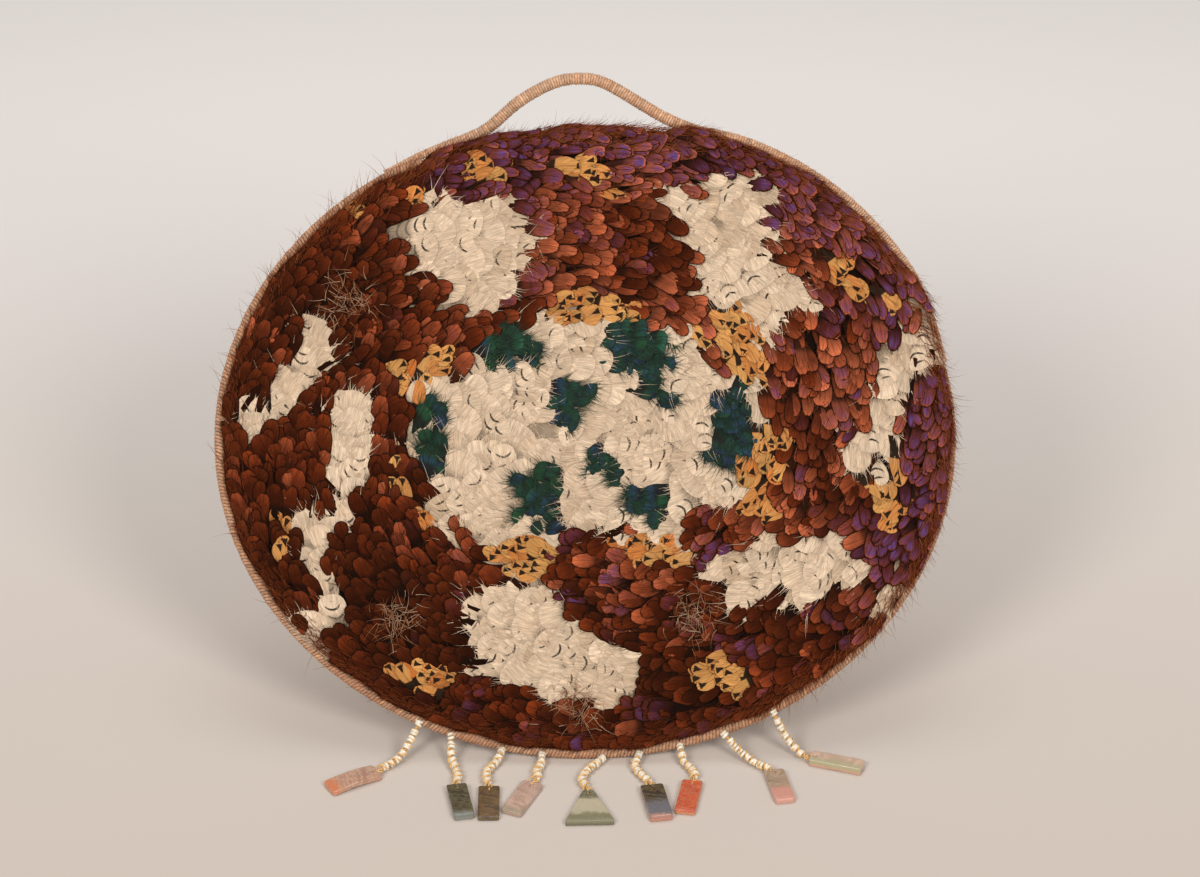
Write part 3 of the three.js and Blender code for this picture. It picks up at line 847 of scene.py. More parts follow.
def make_handle(material):
    """The handle loop, wrapped straight round."""
    random = np.random.default_rng(8)
    line = handle_line(HANDLE_PITCH / WRAP_STEPS)
    steps = len(line)
    phase = (np.arange(steps) % WRAP_STEPS) / WRAP_STEPS
    wraps = steps // WRAP_STEPS + 1
    ridge = wrap_ridge(phase) * np.repeat(random.normal(1, 0.018, wraps), WRAP_STEPS)[:steps]
    rings = tube_points(line, COIL_RADIUS * coil_share(compass(line)) * ridge, WRAP_SIDES)
    # Painted shade: the ring in the groove before each wrap is darker.
    groove = np.where(phase == 0, 0.38, 1.0)
    tints = ring_tints(wrap_tints(wraps, random, linear(214, 172, 138)), WRAP_STEPS, groove, WRAP_SIDES)
    faces = grid_faces(steps, WRAP_SIDES, closed=True)
    caps = np.array([np.arange(WRAP_SIDES)[::-1], np.arange((steps - 1) * WRAP_SIDES, steps * WRAP_SIDES)])
    rings = to_world(rings.reshape(-1, 3))
    piece = new_mesh("wrapped_handle", rings, [faces, caps], material, {"tint": tints})
    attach(piece, "tray")
    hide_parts("handle_loop")


# ---- the coiled back ----

STITCH = 3.4
BACK_PROFILE = [(0.02, 5.2), (0.06, 2.2), (0.24, 0.7), (0.5, 0.1), (0.76, 0.7), (0.94, 2.2), (0.98, 5.2)]
BACK_CLEARANCE = COIL_RADIUS + 0.8  # between the rows and the rim's centreline
BACK_TOP = 7.6
STITCH_SUNK = 0.55
INNER_ROWS = 18


def coil_material():
    material = Material("coiled_fibre", Roughness=0.66, Specular_IOR_Level=0.3)
    place = material.object_place()
    fibre = material.noise(place, 380, 4, 0.65)
    stain = material.noise(place, 9, 4, 0.6)
    tint = material.value("tint")
    colour = material.mix(material.step(fibre, 0.35, 0.7, 0.0, 0.55), tint, linear(176, 132, 96), "MULTIPLY")
    colour = material.mix(material.step(stain, 0.45, 0.68, 0.0, 0.45), colour, linear(150, 98, 62))
    material.colour(colour)
    material.roughness(material.step(fibre, 0.3, 0.7, 0.55, 0.8))
    material.bump(fibre, 0.35, 0.0005)
    return material.material


def back_row(batch, row, random):
    """One row of the coil: a closed oval with a stitch over it every few millimetres."""
    inner = row / BACK_ROWS
    outer = (row + 1) / BACK_ROWS
    sides = len(BACK_PROFILE)
    fine = np.arange(0, 360, 1.0)
    middle = round_tray((inner + outer) / 2 * (rim_radius(fine) - BACK_CLEARANCE), fine)
    along = lengths_along(middle, closed=True)
    stitches = max(8, round(along[-1] / STITCH))
    steps = stitches * 2
    step = np.arange(steps)
    degrees = np.interp((step + 0.5 * (row % 2)) % steps / steps * along[-1], along, [*fine, 360])
    lean = 0.6 * 360 / stitches
    across, height = np.array(BACK_PROFILE).T[:, None]
    sunk = np.where(step % 2 == 0, 0.0, STITCH_SUNK)[:, None]
    angles = degrees[:, None] + lean * (across - 0.5)
    share = inner + (outer - inner) * (0.5 + (across - 0.5) * (1 - 0.12 * sunk))
    radius = share * (rim_radius(angles) - BACK_CLEARANCE)
    points = round_tray(radius, angles, np.minimum(height + sunk * (height < 5), BACK_TOP))
    # Painted shade: the sunk steps between the stitches are darker.
    groove = np.where(step % 2 == 0, 1.0, 0.5)
    tint = ring_tints(wrap_tints(stitches, random, linear(216, 174, 132)), 2, groove, sides)
    ring = step[:, None] * sides
    ahead = (step[:, None] + 1) % steps * sides
    column = np.arange(sides)[None, :]
    after = (column + 1) % sides
    faces = np.stack([ahead + column, ahead + after, ring + after, ring + column], -1).reshape(-1, 4)
    batch.add(points, faces, tint=tint)


def make_back(material):
    """The coil's rows behind the feathers, as an inner and an outer piece."""
    random = np.random.default_rng(9)
    inner = ["coil_rows_1", "coil_rows_2", "coil_rows_3", "coil_rows_4", "start_knot"]
    outer = ["coil_rows_5", "coil_rows_6"]
    halves = {"coil_inner": (0, INNER_ROWS, inner), "coil_outer": (INNER_ROWS, BACK_ROWS, outer)}
    for name, (first, last, nodes) in halves.items():
        batch = Batch()
        for row in range(first, last):
            back_row(batch, row, random)
        piece = batch.mesh(name, material)
        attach(piece, "tray")
        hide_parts(*nodes)


# ---- feathers ----

FEATHERS_FROM = 8.9  # height of the feathers' roots over the tray's back
CORE_HALF_LENGTH = 36
ROW_SPACING = 7.0
FEATHER_STEP = 7.6  # between two tips in a row
INWARD_TILT = 13.0  # degrees
EDGE_SLACK = 1.6  # how far past the edge of the feather cover a feather may reach
WHITE_SHARE = 0.7  # the white feathers are larger, so fewer are needed
CHESTNUT_SHARE = 0.92  # and the same share of the gold and green feathers
CHESTNUT_RINGS = [(0, 0.62), (0.62, 0.85), (0.85, 2)]  # in shares of the way from the core to the edge

# Each kind of feather: how long and wide it is, how blunt its tip is, how far the tip rises over the root,
# how hollow it is below, and how uneven it lies.
FEATHERS = {
    "chestnut": {
        "length": (27, 34), "width": (9.5, 13), "blunt": 2.1, "rise": (1.8, 3.6), "cup": 0.5, "uneven": 1.0,
    },
    "white": {
        "length": (29, 36), "width": (16, 23), "blunt": 3.2, "rise": (1.3, 2.1), "cup": 0.1, "uneven": 0.3,
    },
    "gold": {
        "length": (24, 29), "width": (10, 14), "blunt": 1.6, "rise": (1.8, 3.2), "cup": 0.4, "uneven": 1.0,
    },
    "green": {
        "length": (18, 22), "width": (10, 13), "blunt": 3.0, "rise": (2.0, 3.2), "cup": 0.4, "uneven": 0.8,
    },
}
# The frayed barbs at each tip: how many, how far they reach, how thick they are, how far back they start, and
# the share of them that is dark.
FRINGE = {
    "chestnut": {"count": 16, "reach": 2.2, "width": 0.3, "back": 2.0, "dark": 0.5},
    "white": {"count": 20, "reach": 4.2, "width": 0.4, "back": 0.1, "dark": 0.0},
    "gold": {"count": 5, "reach": 1.8, "width": 0.3, "back": 1.0, "dark": 0.3},
    "green": {"count": 34, "reach": 4.8, "width": 0.42, "back": 0.5, "dark": 0.5},
}
FEATHER_LOOKS = {
    "chestnut": {"Roughness": 0.6, "Specular_IOR_Level": 0.03},
    "white": {"Roughness": 0.75, "Specular_IOR_Level": 0.1},
    "gold": {"Roughness": 0.65, "Specular_IOR_Level": 0.08},
    "green": {"Roughness": 0.45, "Specular_IOR_Level": 0.15},
}


def cover_radius(degrees):
    """How far the feathers reach: to the rim coil's inside, and over it between the handle's feet."""
    degrees = np.asarray(degrees, float)
    under_handle = 10 * turn_between(68, 116, 8, degrees)
    upper_right = 8.0 * turn_between(22, 74, 10, degrees)
    right = 3.0 * turn_between(-30, 20, 15, degrees)
    ragged = 0.8 * np.sin(np.radians(degrees * 17)) + 0.7 * np.sin(np.radians(degrees * 31 + 50))
    return rim_radius(degrees) - 3.4 + np.maximum(under_handle, upper_right) + right + ragged


def patch_tree(prefix):
    """A tree to look up whether a place on the face lies on the CAD's patches of one colour."""
    points, faces = [], []
    for name, node in NODES.items():
        if not name.startswith(prefix):
            continue
        base = len(points)
        points += [vertex.co for vertex in node.data.vertices]
        faces += [[base + corner for corner in polygon.vertices] for polygon in node.data.polygons]
    return BVHTree.FromPolygons(points, faces)


# Single gold feathers among the chestnut ones, and how far round each place a feather counts as one of them.
GOLD_SINGLES = [
    (212, 96), (-214, 44), (-216, -76), (-120, 170), (-163, 160),
    (-75, 193), (-60, 188), (20, 172), (92, 138),
]
SINGLE_REACH = 7.0
# How far past its CAD patches a kind of feather spreads.
PATCH_REACH = {"white": 4.2, "gold": 1.6, "green": 1.5}


def sort_feathers(spots):
    """Which kind of feather shows at each spot of the face."""
    away = Vector(-OUT)
    kinds = np.full(len(spots), "chestnut", dtype=object)
    for kind in ("white", "gold", "green"):
        tree = patch_tree(f"feathers_{kind}")
        for x, y in ((0, 0), (1, 0), (0, 1), (-1, 0), (0, -1)):
            shifted = spots + np.array([x, y]) * PATCH_REACH[kind]
            starts = to_world(np.c_[shifted, np.full(len(spots), 30.0)])
            hit = [tree.ray_cast(Vector(start), away)[0] is not None for start in starts]
            kinds[np.array(hit)] = kind
    for single in GOLD_SINGLES:
        near = np.linalg.norm(spots - np.array(single), axis=1) < SINGLE_REACH
        kinds[near & (kinds == "chestnut")] = "gold"
    return kinds


def feather_tips(random):
    """Places, directions and shares of the way out for the tips: rows round the tray, all pointing clockwise.

    The coil starts as a straight core, so the first rows are long and narrow."""
    rows = round(rim_radius(90) / ROW_SPACING)
    fine = np.arange(0, 361, 1.0)
    edge = round_tray(cover_radius(fine), fine)[:, :2]
    core = np.stack([CORE_HALF_LENGTH * np.cos(np.radians(fine)), 0 * fine], -1)
    tips, heads, shares = [], [], []
    for row in range(rows):
        share = (row + 0.6) / (rows - 0.4)
        line = core + share * (edge - core)
        along = lengths_along(line)
        count = max(4, round(along[-1] / FEATHER_STEP))
        place = (np.arange(count) + 0.5 * (row % 2) + random.uniform(-0.22, 0.22, count)) % count
        place = place * along[-1] / count
        spot = points_at(place, along, line)
        tips.append(spot + random.normal(0, 2.6, spot.shape))
        heads.append(-unit(points_at(place, along, np.gradient(line, axis=0))))
        shares.append(np.full(count, share))
    return np.concatenate(tips), np.concatenate(heads), np.concatenate(shares)


def turned(vectors, degrees):
    """The flat vectors, each turned anticlockwise by its degrees."""
    angle = np.radians(degrees)
    x = vectors[:, 0] * np.cos(angle) - vectors[:, 1] * np.sin(angle)
    y = vectors[:, 0] * np.sin(angle) + vectors[:, 1] * np.cos(angle)
    return np.stack([x, y], -1)


def field(spots, size, seed):
    """A smooth random value for each spot, about -1 to 1, that changes over a distance of size."""
    random = np.random.default_rng(seed)
    total = np.zeros(len(spots))
    for _ in range(6):
        wave = random.normal(0, 2 * math.pi / size, 2)
        total += np.sin(spots @ wave + random.uniform(0, 2 * math.pi))
    return total / 3


COPPER = linear(174, 92, 60)
BROWN = linear(108, 43, 15)
DARK = linear(64, 26, 7)
# PURPLE and VIOLET are the colours of the painted purple sheen.
PURPLE = linear(104, 54, 72)
VIOLET = linear(88, 64, 120)
CREAM = linear(216, 192, 165)
GREYED = linear(188, 162, 134)
TAN = linear(196, 142, 80)
ORANGE = linear(186, 106, 48)
GREEN = linear(22, 66, 38)
BLUE = linear(32, 60, 88)
# BLACK serves both the feathers' own black marks and the painted shade at their edges, over their roots and
# under them.
BLACK = linear(14, 9, 5)


def blend_colours(first, second, share):
    return first * (1 - share[:, None]) + second * share[:, None]


def chestnut_tints(spots, shares, random):
    """Copper in the middle and on top, darker at the left and the bottom as painted shade, and a painted
    purple sheen along the upper right.
    """
    degrees = compass(spots)
    loose = random.normal(0, 0.16, len(spots))
    # Painted shade: the smooth steps darken the left and the bottom. The field and the loose spread are the
    # feathers' own uneven tone.
    dark = 0.4 + 0.4 * smooth(0, -180, spots[:, 0]) + 0.42 * smooth(-30, -150, spots[:, 1])
    dark = np.clip(dark + 0.28 * field(spots, 70, 3) + loose, 0, 1)
    colour = blend_colours(COPPER, BROWN, np.clip(dark * 1.6, 0, 1))
    colour = blend_colours(colour, DARK, np.clip(dark * 1.7 - 0.8, 0, 1))
    colour = colour * random.lognormal(-0.05, 0.24, len(spots))[:, None]
    # Painted purple sheen: a band over the outer rows at the upper right, and patches over the right.
    band = turn_between(-20, 108, 18, degrees) * smooth(0.76, 0.88, shares + 0.04 * field(spots, 40, 4))
    sheen_patches = smooth(0.4, 1.0, field(spots, 60, 5) + random.normal(0, 0.3, len(spots)))
    sheen_patches = sheen_patches * smooth(-160, 20, spots[:, 0])
    sheen = np.clip(band + 0.7 * sheen_patches, 0, 1) * random.uniform(0.3, 1.0, len(spots))
    return np.c_[colour, sheen]


def tints_of(kind, spots, shares, random):
    """Each feather's ground colour, and as its alpha how much of the painted purple sheen it shows."""
    count = len(spots)
    if kind == "white":
        colour = blend_colours(CREAM, GREYED, np.clip(random.normal(0.3, 0.3, count), 0, 1))
        return np.c_[colour * random.normal(1, 0.05, count)[:, None], np.ones(count)]
    if kind == "gold":
        colour = blend_colours(TAN, ORANGE, np.clip(random.normal(0.3, 0.35, count), 0, 1))
        return np.c_[colour * random.normal(1, 0.1, count)[:, None], np.ones(count)]
    if kind == "green":
        blue = np.clip(0.28 + 0.004 * spots[:, 0] + 0.7 * field(spots, 25, 8), 0, 1)
        colour = blend_colours(GREEN, BLUE, blue) * random.lognormal(-0.35, 0.5, count)[:, None]
        return np.c_[colour, np.ones(count)]
    return chestnut_tints(spots, shares, random)


def width_share(v, blunt):
    """A feather's width at a share of its length: narrow at the root, widest before its rounded tip."""
    body = 0.4 + 0.6 * smooth(0, 0.62, v)
    tip = np.clip((v - 0.68) / 0.32, 0, 1)
    return body * (1 - tip**blunt * 0.96) ** 0.5


def kept_in(flat):
    """Draws places back to the edge of the feather cover, so that no root stands out past the rim."""
    reach = np.hypot(flat[..., 0], flat[..., 1])
    allowed = cover_radius(compass(flat)) + EDGE_SLACK
    return flat * np.minimum(1, allowed / np.maximum(reach, 1))[..., None]


# A blade's points lie at these shares of its length from the root and of its half width.
TIP_STEPS = np.array([0.0, 0.22, 0.42, 0.58, 0.70, 0.79, 0.87, 0.93, 0.97, 1.0])
ACROSS = np.array([-1.0, -0.5, 0.0, 0.5, 1.0])


def feather_blades(batch, kind, tips, heads, tints, random):
    """Adds one curved blade for each tip. Returns what the fringe needs to know of them."""
    look = FEATHERS[kind]
    count = len(tips)
    scale = np.clip(random.lognormal(0, 0.16, count), 0.7, 1.4)
    length = random.uniform(*look["length"], count) * scale**0.5
    width = random.uniform(*look["width"], count) * scale
    if kind == "chestnut":
        narrow = turn_between(-20, 120, 20, compass(tips))
        edge = smooth(0.72, 0.92, np.hypot(*tips.T) / rim_radius(compass(tips)))
        width = width * (1 - 0.25 * narrow * edge)
    rise = random.uniform(*look["rise"], count)
    roll = random.normal(0, 0.07 * look["uneven"], count)
    bend = math.sin(math.radians(INWARD_TILT)) / length + 0.002 + random.normal(0, 0.002, count)
    sink = random.uniform(-0.2, 0.7, count)
    sides = turned(heads, 90)
    v = TIP_STEPS[None, :, None]
    a = ACROSS[None, None, :]
    half = width[:, None, None] / 2 * width_share(v, look["blunt"])
    y = length[:, None, None] * (v - 1 + 0.0 * a)
    x = half * a - bend[:, None, None] * y**2
    cup = look["cup"] * (1 - a**2) * np.minimum(1, half / 4)
    height = FEATHERS_FROM + sink[:, None, None] + rise[:, None, None] * v**1.4
    height = height + cup + roll[:, None, None] * x
    ripple = 0.25 * look["uneven"] * np.sin(a * 5 + v * 9 + 6 * random.random(count)[:, None, None])
    height = height + ripple * v
    flat = tips[:, None, None] + y[..., None] * heads[:, None, None] + x[..., None] * sides[:, None, None]
    points = np.concatenate([kept_in(flat), height[..., None] + 0 * flat[..., :1]], -1)
    each = len(TIP_STEPS) * len(ACROSS)
    blade = np.stack(np.broadcast_arrays(half * a, y, random.random(count)[:, None, None]), -1).reshape(-1, 3)
    margin = np.stack(np.broadcast_arrays(half * (1 - np.abs(a)), -y, half + 0 * a), -1).reshape(-1, 3)
    faces = repeat_faces(grid_faces(len(TIP_STEPS), len(ACROSS)), count, each)
    batch.add(points, faces, tint=np.repeat(tints, each, 0), blade=blade, margin=margin)
    return width, rise, sink, sides


def hairs(batch, starts, ahead, length, width, colours, random, curl, lift):
    """Adds thin curved barbs that taper to a point."""
    count = len(starts)
    v = np.array([0.0, 0.35, 0.7, 1.0])[None, :, None]
    side = unit(np.cross(ahead, [0, 0, 1.0]))
    bend = random.normal(0, curl, count)[:, None, None]
    up = random.normal(lift, 0.12, count)[:, None, None]
    size = length[:, None, None]
    middle = starts[:, None] + size * (v * ahead[:, None] + bend * v**2 * side[:, None])
    middle[..., 2] += (size * up * v)[..., 0]
    half = 0.5 * width * (1 - 0.88 * v)
    points = np.stack([middle - half * side[:, None], middle + half * side[:, None]], 2)
    faces = repeat_faces(grid_faces(4, 2), count, 8)
    tint = np.repeat(np.c_[colours, np.zeros(count)], 8, 0)
    batch.add(points, faces, tint=tint, blade=[0.0, -2.0, 0.5], margin=[4.0, 4.0, 4.0])


def tip_fringe(batch, kind, tips, heads, tints, shapes, random):
    """Frayed barbs that fan out past the tips."""
    width, rise, sink, sides = shapes
    look = FRINGE[kind]
    count = len(tips)
    for _ in range(look["count"]):
        a = random.uniform(-0.95, 0.95, count)
        back = width * 0.5 * a**2 * 0.55 + 1.2 + random.exponential(look["back"], count)
        flat = tips - back[:, None] * heads + (a * width * 0.42)[:, None] * sides
        height = FEATHERS_FROM + sink + rise * 0.9
        aim = turned(heads, a * 38 + random.normal(0, 12, count))
        starts = np.c_[kept_in(flat), height + 0.12]
        size = np.minimum(back, 6) * 0.75 + random.gamma(2.0, look["reach"] / 2, count)
        # Some barbs are dark, like the dark edge round the tips: partly the feathers' own fringe, partly
        # painted shade.
        dark = random.random(count) < look["dark"]
        strength = np.where(dark, 0.1, random.uniform(0.75, 1.1, count))
        shade = tints[:, :3] * strength[:, None]
        hairs(batch, starts, np.c_[aim, np.zeros(count)], size, look["width"], shade, random, 0.12, 0.0)


# How far behind its tip a feather's barbs fan out from.
FAN = {"chestnut": 16.0, "white": 24.0, "gold": 17.0, "green": 15.0}
BAR_SPACING = 6.5  # of the dark bars on some of the white feathers


def feather_material(name, kind, **shader):
    """Barbs that run aslant from the shaft, a dark fringe round the tip that is partly painted shade, painted
    shade over the root, a painted purple sheen on the chestnut ones, and each kind's own marks.
    """
    material = Material(name, **shader)
    x = material.value("blade", 0)
    chance = material.value("blade", 2)
    side = material.value("margin", 0)
    tip = material.value("margin", 1)
    across = material.math("ABSOLUTE", x)
    fan = material.math("DIVIDE", x, material.math("MULTIPLY_ADD", tip, -0.6, FAN[kind]))
    seed = material.math("MULTIPLY", chance, 157.0)
    slow = material.math("MULTIPLY", tip, 0.09)
    fine = material.noise(material.place(material.math("MULTIPLY", fan, 46.0), slow, seed), 1.0, 3, 0.65)
    clump = material.noise(material.place(material.math("MULTIPLY", fan, 11.0), slow, seed), 1.0, 2, 0.6)
    ragged = material.math("MULTIPLY_ADD", fine, 0.9, -0.45)
    edge = material.math("ADD", material.math("MINIMUM", material.math("MULTIPLY", side, 1.4), tip), ragged)
    streak = material.step(fine, 0.25, 0.75, 0.62, 1.22)
    streak = material.math("MULTIPLY", streak, material.step(clump, 0.3, 0.7, 0.82, 1.12))
    colour = material.brighten(material.value("tint"), streak)
    shaft = material.step(across, 0.12, 0.45, 0.45, 0.0)
    if kind == "chestnut":
        # Painted shade: brighter at the tip, darker back towards the root, where another feather's tip lies
        # over it.
        colour = material.brighten(colour, material.step(tip, 1.0, 10.0, 1.12, 0.6))
        # Painted purple sheen over the middle of each tip, as much as the tint's alpha asks for.
        sheen = material.node("ShaderNodeAttribute", attribute_name="tint").outputs["Alpha"]
        painted_sheen_mask = material.step(edge, 0.8, 3.2)
        painted_sheen_mask = material.math("MULTIPLY", painted_sheen_mask, material.step(tip, 5.0, 12.0, 1.0, 0.2))
        painted_sheen_mask = material.math("MULTIPLY", painted_sheen_mask, sheen)
        violet = material.mix(material.step(clump, 0.35, 0.65), PURPLE, VIOLET)
        colour = material.mix(painted_sheen_mask, colour, material.brighten(violet, streak))
        colour = material.mix(shaft, colour, DARK * 0.6)
        # A black edge round the tip: partly the feathers' own dark fringe, partly painted shade where the tip
        # lies over the next feather.
        colour = material.mix(material.step(edge, 0.5, 1.2, 0.97, 0.0), colour, BLACK)
        # Painted shade: near black over the root, which lies under other feathers and shows only in the gaps.
        colour = material.mix(material.step(tip, 12, 18, 0.0, 0.8), colour, BLACK)
    if kind == "white":
        colour = material.mix(shaft, colour, CREAM)
        start = material.math("MULTIPLY_ADD", chance, 9.0, material.math("MULTIPLY_ADD", fine, 1.6, tip))
        curved = material.math("MULTIPLY_ADD", material.math("MULTIPLY", across, across), 0.1, start)
        bars = material.math("FRACT", material.math("MULTIPLY", curved, 1 / BAR_SPACING))
        bar = material.step(bars, 0.0, 0.04)
        bar = material.math("MULTIPLY", bar, material.step(bars, 0.22, 0.30, 1.0, 0.0))
        short = material.step(across, 4.4, 6.2, 1.0, 0.0)
        short = material.math("MULTIPLY", short, material.step(fine, 0.34, 0.46, 0.5, 1.0))
        below = material.step(tip, 4.5, 5.5)
        often = material.step(material.math("FRACT", material.math("MULTIPLY", chance, 7.0)), 0.54, 0.55)
        bar = material.math("MULTIPLY", bar, below)
        bar = material.math("MULTIPLY", bar, material.math("MULTIPLY", short, often))
        colour = material.mix(material.math("MULTIPLY", bar, 0.95), colour, BLACK)
        colour = material.mix(material.step(edge, 0.0, 0.5, 0.16, 0.0), colour, linear(150, 124, 98))
        # Painted shade: greyer over the root, which lies under other feathers and shows only in the gaps.
        colour = material.mix(material.step(tip, 13, 19, 0.0, 0.75), colour, linear(118, 102, 84))
    if kind == "gold":
        start = material.math("MULTIPLY_ADD", chance, 2.0, material.math("MULTIPLY_ADD", fine, 1.6, tip))
        offset = material.math("ADD", x, material.math("MULTIPLY_ADD", clump, 3.0, -1.5))
        offset = material.math("ABSOLUTE", offset)
        mark = material.step(material.math("MULTIPLY_ADD", start, 0.42, offset), 3.7, 4.2, 1.0, 0.0)
        mark = material.math("MULTIPLY", mark, material.step(start, 3.2, 3.8))
        mark = material.math("MULTIPLY", mark, material.step(chance, 0.15, 0.16))
        colour = material.mix(shaft, colour, BROWN)
        colour = material.mix(material.math("MULTIPLY", mark, 0.97), colour, BLACK)
        colour = material.mix(material.step(edge, 0.1, 0.5, 0.4, 0.0), colour, DARK)
        # Painted shade: black over the root, which lies under other feathers.
        colour = material.mix(material.step(start, 16, 17, 0.0, 0.97), colour, BLACK)
    if kind == "green":
        other = material.mix(material.step(chance, 0.45, 0.85), GREEN, BLUE)
        share = material.step(tip, 1.0, 6.0, 0.0, 0.8)
        colour = material.mix(share, colour, material.brighten(other, streak))
        colour = material.mix(material.step(clump, 0.42, 0.6, 0.0, 0.7), colour, BLACK)
        colour = material.mix(material.step(edge, 0.3, 1.0, 0.8, 0.0), colour, BLACK)
        # Painted shade: black over the root, which lies under other feathers.
        colour = material.mix(material.step(tip, 6, 10, 0.0, 0.85), colour, BLACK)
    material.colour(colour)
    material.roughness(material.step(fine, 0.3, 0.7, 0.42, 0.7))
    height = material.math("MULTIPLY_ADD", clump, 0.6, fine)
    material.bump(height, 0.5, 0.0006)
    return material.material


# Loose barbs: frizzy tangles of them on the face, at x and y, with how far each tangle spreads.
LOOSE_TANGLES = [(-165, 97, 20), (75, -125, 22), (-5, -185, 24), (-131, -126, 18)]
TANGLE_BARBS = 90
EDGE_BARBS = 7000
STRAY_BARBS = 1300


def loose_barbs(batch, random):
    """Frizzy tangles of loose barbs on the face."""
    count = TANGLE_BARBS
    for x, y, size in LOOSE_TANGLES:
        spot = random.normal([x, y], size * 0.42, (count, 2))
        ahead = towards(random.uniform(0, 360, count))
        tint = blend_colours(linear(176, 110, 68), linear(236, 204, 170), random.random(count) ** 1.5)
        starts = np.c_[spot, random.uniform(12.5, 14.5, count)]
        hairs(batch, starts, ahead, random.uniform(6, 15, count), 0.42, tint, random, 0.5, 0.08)


def edge_frizz(batch, random):
    """Frizzy brown barbs along the edge of the feathers, lying clockwise over the inside of the rim."""
    count = EDGE_BARBS
    degrees = random.uniform(0, 360, count)
    # Painted light: the barbs get paler towards the upper right.
    bright = turn_between(-40, 130, 30, degrees)
    inside = random.gamma(2.0, 2.4, count)
    reach = cover_radius(degrees) + 0.8 + 2.6 * turn_between(0, 80, 12, degrees)
    spot = round_tray(reach - inside, degrees, random.uniform(10.0, 13.2, count))
    ahead = towards(degrees - 90 + 12 + random.normal(0, 13, count))
    lit = random.random(count) * (0.5 + 0.5 * bright)
    tint = blend_colours(linear(98, 42, 20), linear(184, 98, 50), lit)
    hairs(batch, spot, ahead, random.uniform(7, 15, count), 0.3, tint, random, 0.24, -0.05)


def rim_strays(batch, random):
    """Barbs that stand out past the rim, more of them at the right, none where the rim is near the floor."""
    degrees = random.uniform(0, 360, STRAY_BARBS)
    keep = random.random(STRAY_BARBS) < 0.2 + 0.8 * turn_between(-50, 150, 30, degrees)
    keep &= turn_between(242, 298, 10, degrees) < 0.5
    degrees = degrees[keep]
    count = len(degrees)
    reach = rim_radius(degrees) - random.uniform(2, 9, count)
    spot = round_tray(reach, degrees, random.uniform(9.5, 12, count))
    ahead = towards(degrees + random.normal(-52, 22, count))
    tint = blend_colours(linear(138, 66, 32), linear(196, 122, 76), random.random(count))
    hairs(batch, spot, ahead, random.uniform(8, 22, count), 0.5, tint, random, 0.35, -0.05)


def painted_shade_bed(batch):
    """A black sheet of painted shade under the feathers' roots, so that nothing pale shows between them."""
    degrees = np.arange(0, 360, 6.0)
    shares = np.linspace(0.02, 1, 14)
    reach = cover_radius(degrees) - 0.6
    points = np.stack([round_tray(share * reach, degrees, FEATHERS_FROM - 0.3) for share in shares])
    faces = [grid_faces(len(shares), len(degrees), closed=True), np.arange(len(degrees))[None]]
    batch.add(points, faces, tint=(*BLACK, 0.0), blade=[0.0, -2.0, 0.5], margin=[4.0, 20.0, 4.0])


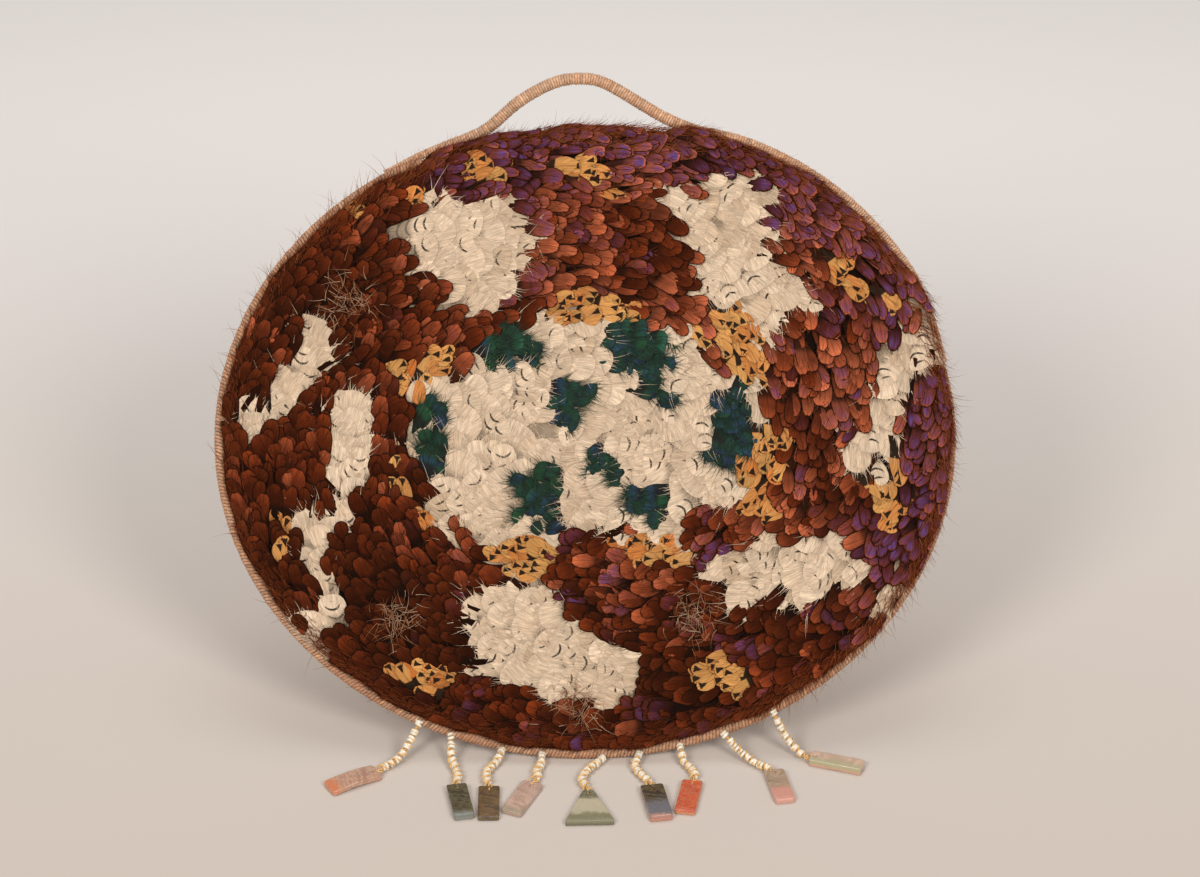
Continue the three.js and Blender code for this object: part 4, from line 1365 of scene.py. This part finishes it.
def make_feathers():
    """All the feathers, a piece for each kind, but the chestnut ones in three rings."""
    random = np.random.default_rng(21)
    tips, heads, shares = feather_tips(random)
    outer = smooth(0.9, 1.0, shares)
    clumps = 15 * field(tips, 45, 12) * (1 - outer)
    tips = kept_in(tips)
    heads = turned(heads, clumps - INWARD_TILT * (1 - 0.5 * outer) + random.normal(0, 15, len(tips)))
    kinds = sort_feathers(tips - 5 * heads)
    kept = random.random(len(tips)) < np.where(kinds == "white", WHITE_SHARE, CHESTNUT_SHARE)
    tips, heads, shares, kinds = tips[kept], heads[kept], shares[kept], kinds[kept]
    for kind, look in FEATHER_LOOKS.items():
        material = feather_material(f"{kind}_feather", kind, **look)
        nodes = [name for name in NODES if name.startswith(f"feathers_{kind}")]
        rings = CHESTNUT_RINGS if kind == "chestnut" else [(0, 2)]
        for number, (low, high) in enumerate(rings, 1):
            chosen = (kinds == kind) & (shares >= low) & (shares < high)
            batch = Batch()
            tints = np.clip(tints_of(kind, tips[chosen], shares[chosen], random), 0, 1)
            shapes = feather_blades(batch, kind, tips[chosen], heads[chosen], tints, random)
            tip_fringe(batch, kind, tips[chosen], heads[chosen], tints, shapes, random)
            if kind == "chestnut" and number == len(rings):
                rim_strays(batch, random)
                edge_frizz(batch, random)
                loose_barbs(batch, random)
            if kind == "chestnut" and number == 1:
                painted_shade_bed(batch)
            name = f"feathers_{kind}" if len(rings) == 1 else f"feathers_{kind}_ring{number}"
            piece = batch.mesh(f"{name}_blades", material)
            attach(piece, "tray")
            if number == 1:
                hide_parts(*nodes)


# ---- floor and light ----


def make_stage():
    """A pale paper floor, with painted light that makes it a little paler towards the back."""
    material = Material("floor", Roughness=0.9, Specular_IOR_Level=0.1)
    split = material.node("ShaderNodeSeparateXYZ", {0: material.object_place()})
    # Painted light: paler towards the back.
    back = material.step(split.outputs[1], -0.5, 1.2)
    material.colour(material.mix(back, linear(195, 184, 174), linear(246, 241, 237)))
    size = 12.0
    corners = np.array([[-size, -size, 0], [size, -size, 0], [size, size, 0], [-size, size, 0]])
    floor = new_mesh("floor", corners + [0, 0, FLOOR - 0.0002], [np.array([[0, 1, 2, 3]])], material.material)


def add_light(name, place, target, size, power, colour):
    light = bpy.data.lights.new(name, "AREA")
    light.shape = "DISK"
    light.size = size
    light.energy = power
    light.color = colour
    lamp = bpy.data.objects.new(name, light)
    lamp.location = place
    lamp.rotation_euler = (Vector(target) - Vector(place)).to_track_quat("-Z", "Y").to_euler()
    bpy.context.scene.collection.objects.link(lamp)


def make_light():
    """Two soft lights in front, one over the floor behind, and a pale world."""
    world = bpy.data.worlds.new("studio")
    bpy.context.scene.world = world
    world.use_nodes = True
    background = world.node_tree.nodes["Background"]
    background.inputs["Color"].default_value = (0.92, 0.9, 0.88, 1)
    background.inputs["Strength"].default_value = 0.385
    for name, side in (("left_light", -1), ("right_light", 1)):
        add_light(name, (1.2 * side, -2.15, 1.7), (0, 0, 0), 1.1, 43, (1.0, 0.96, 0.92))
    add_light("top_light", (0, 0.9, 2.6), (0, 0.6, -0.2), 1.8, 21, (0.98, 0.98, 1.0))
    bpy.context.scene.view_settings.view_transform = "Standard"


# ---- everything ----

add_camera()
make_strands()
wrap = wrap_material()
make_rim(wrap)
make_handle(wrap)
make_back(coil_material())
make_feathers()
make_stage()
make_light()
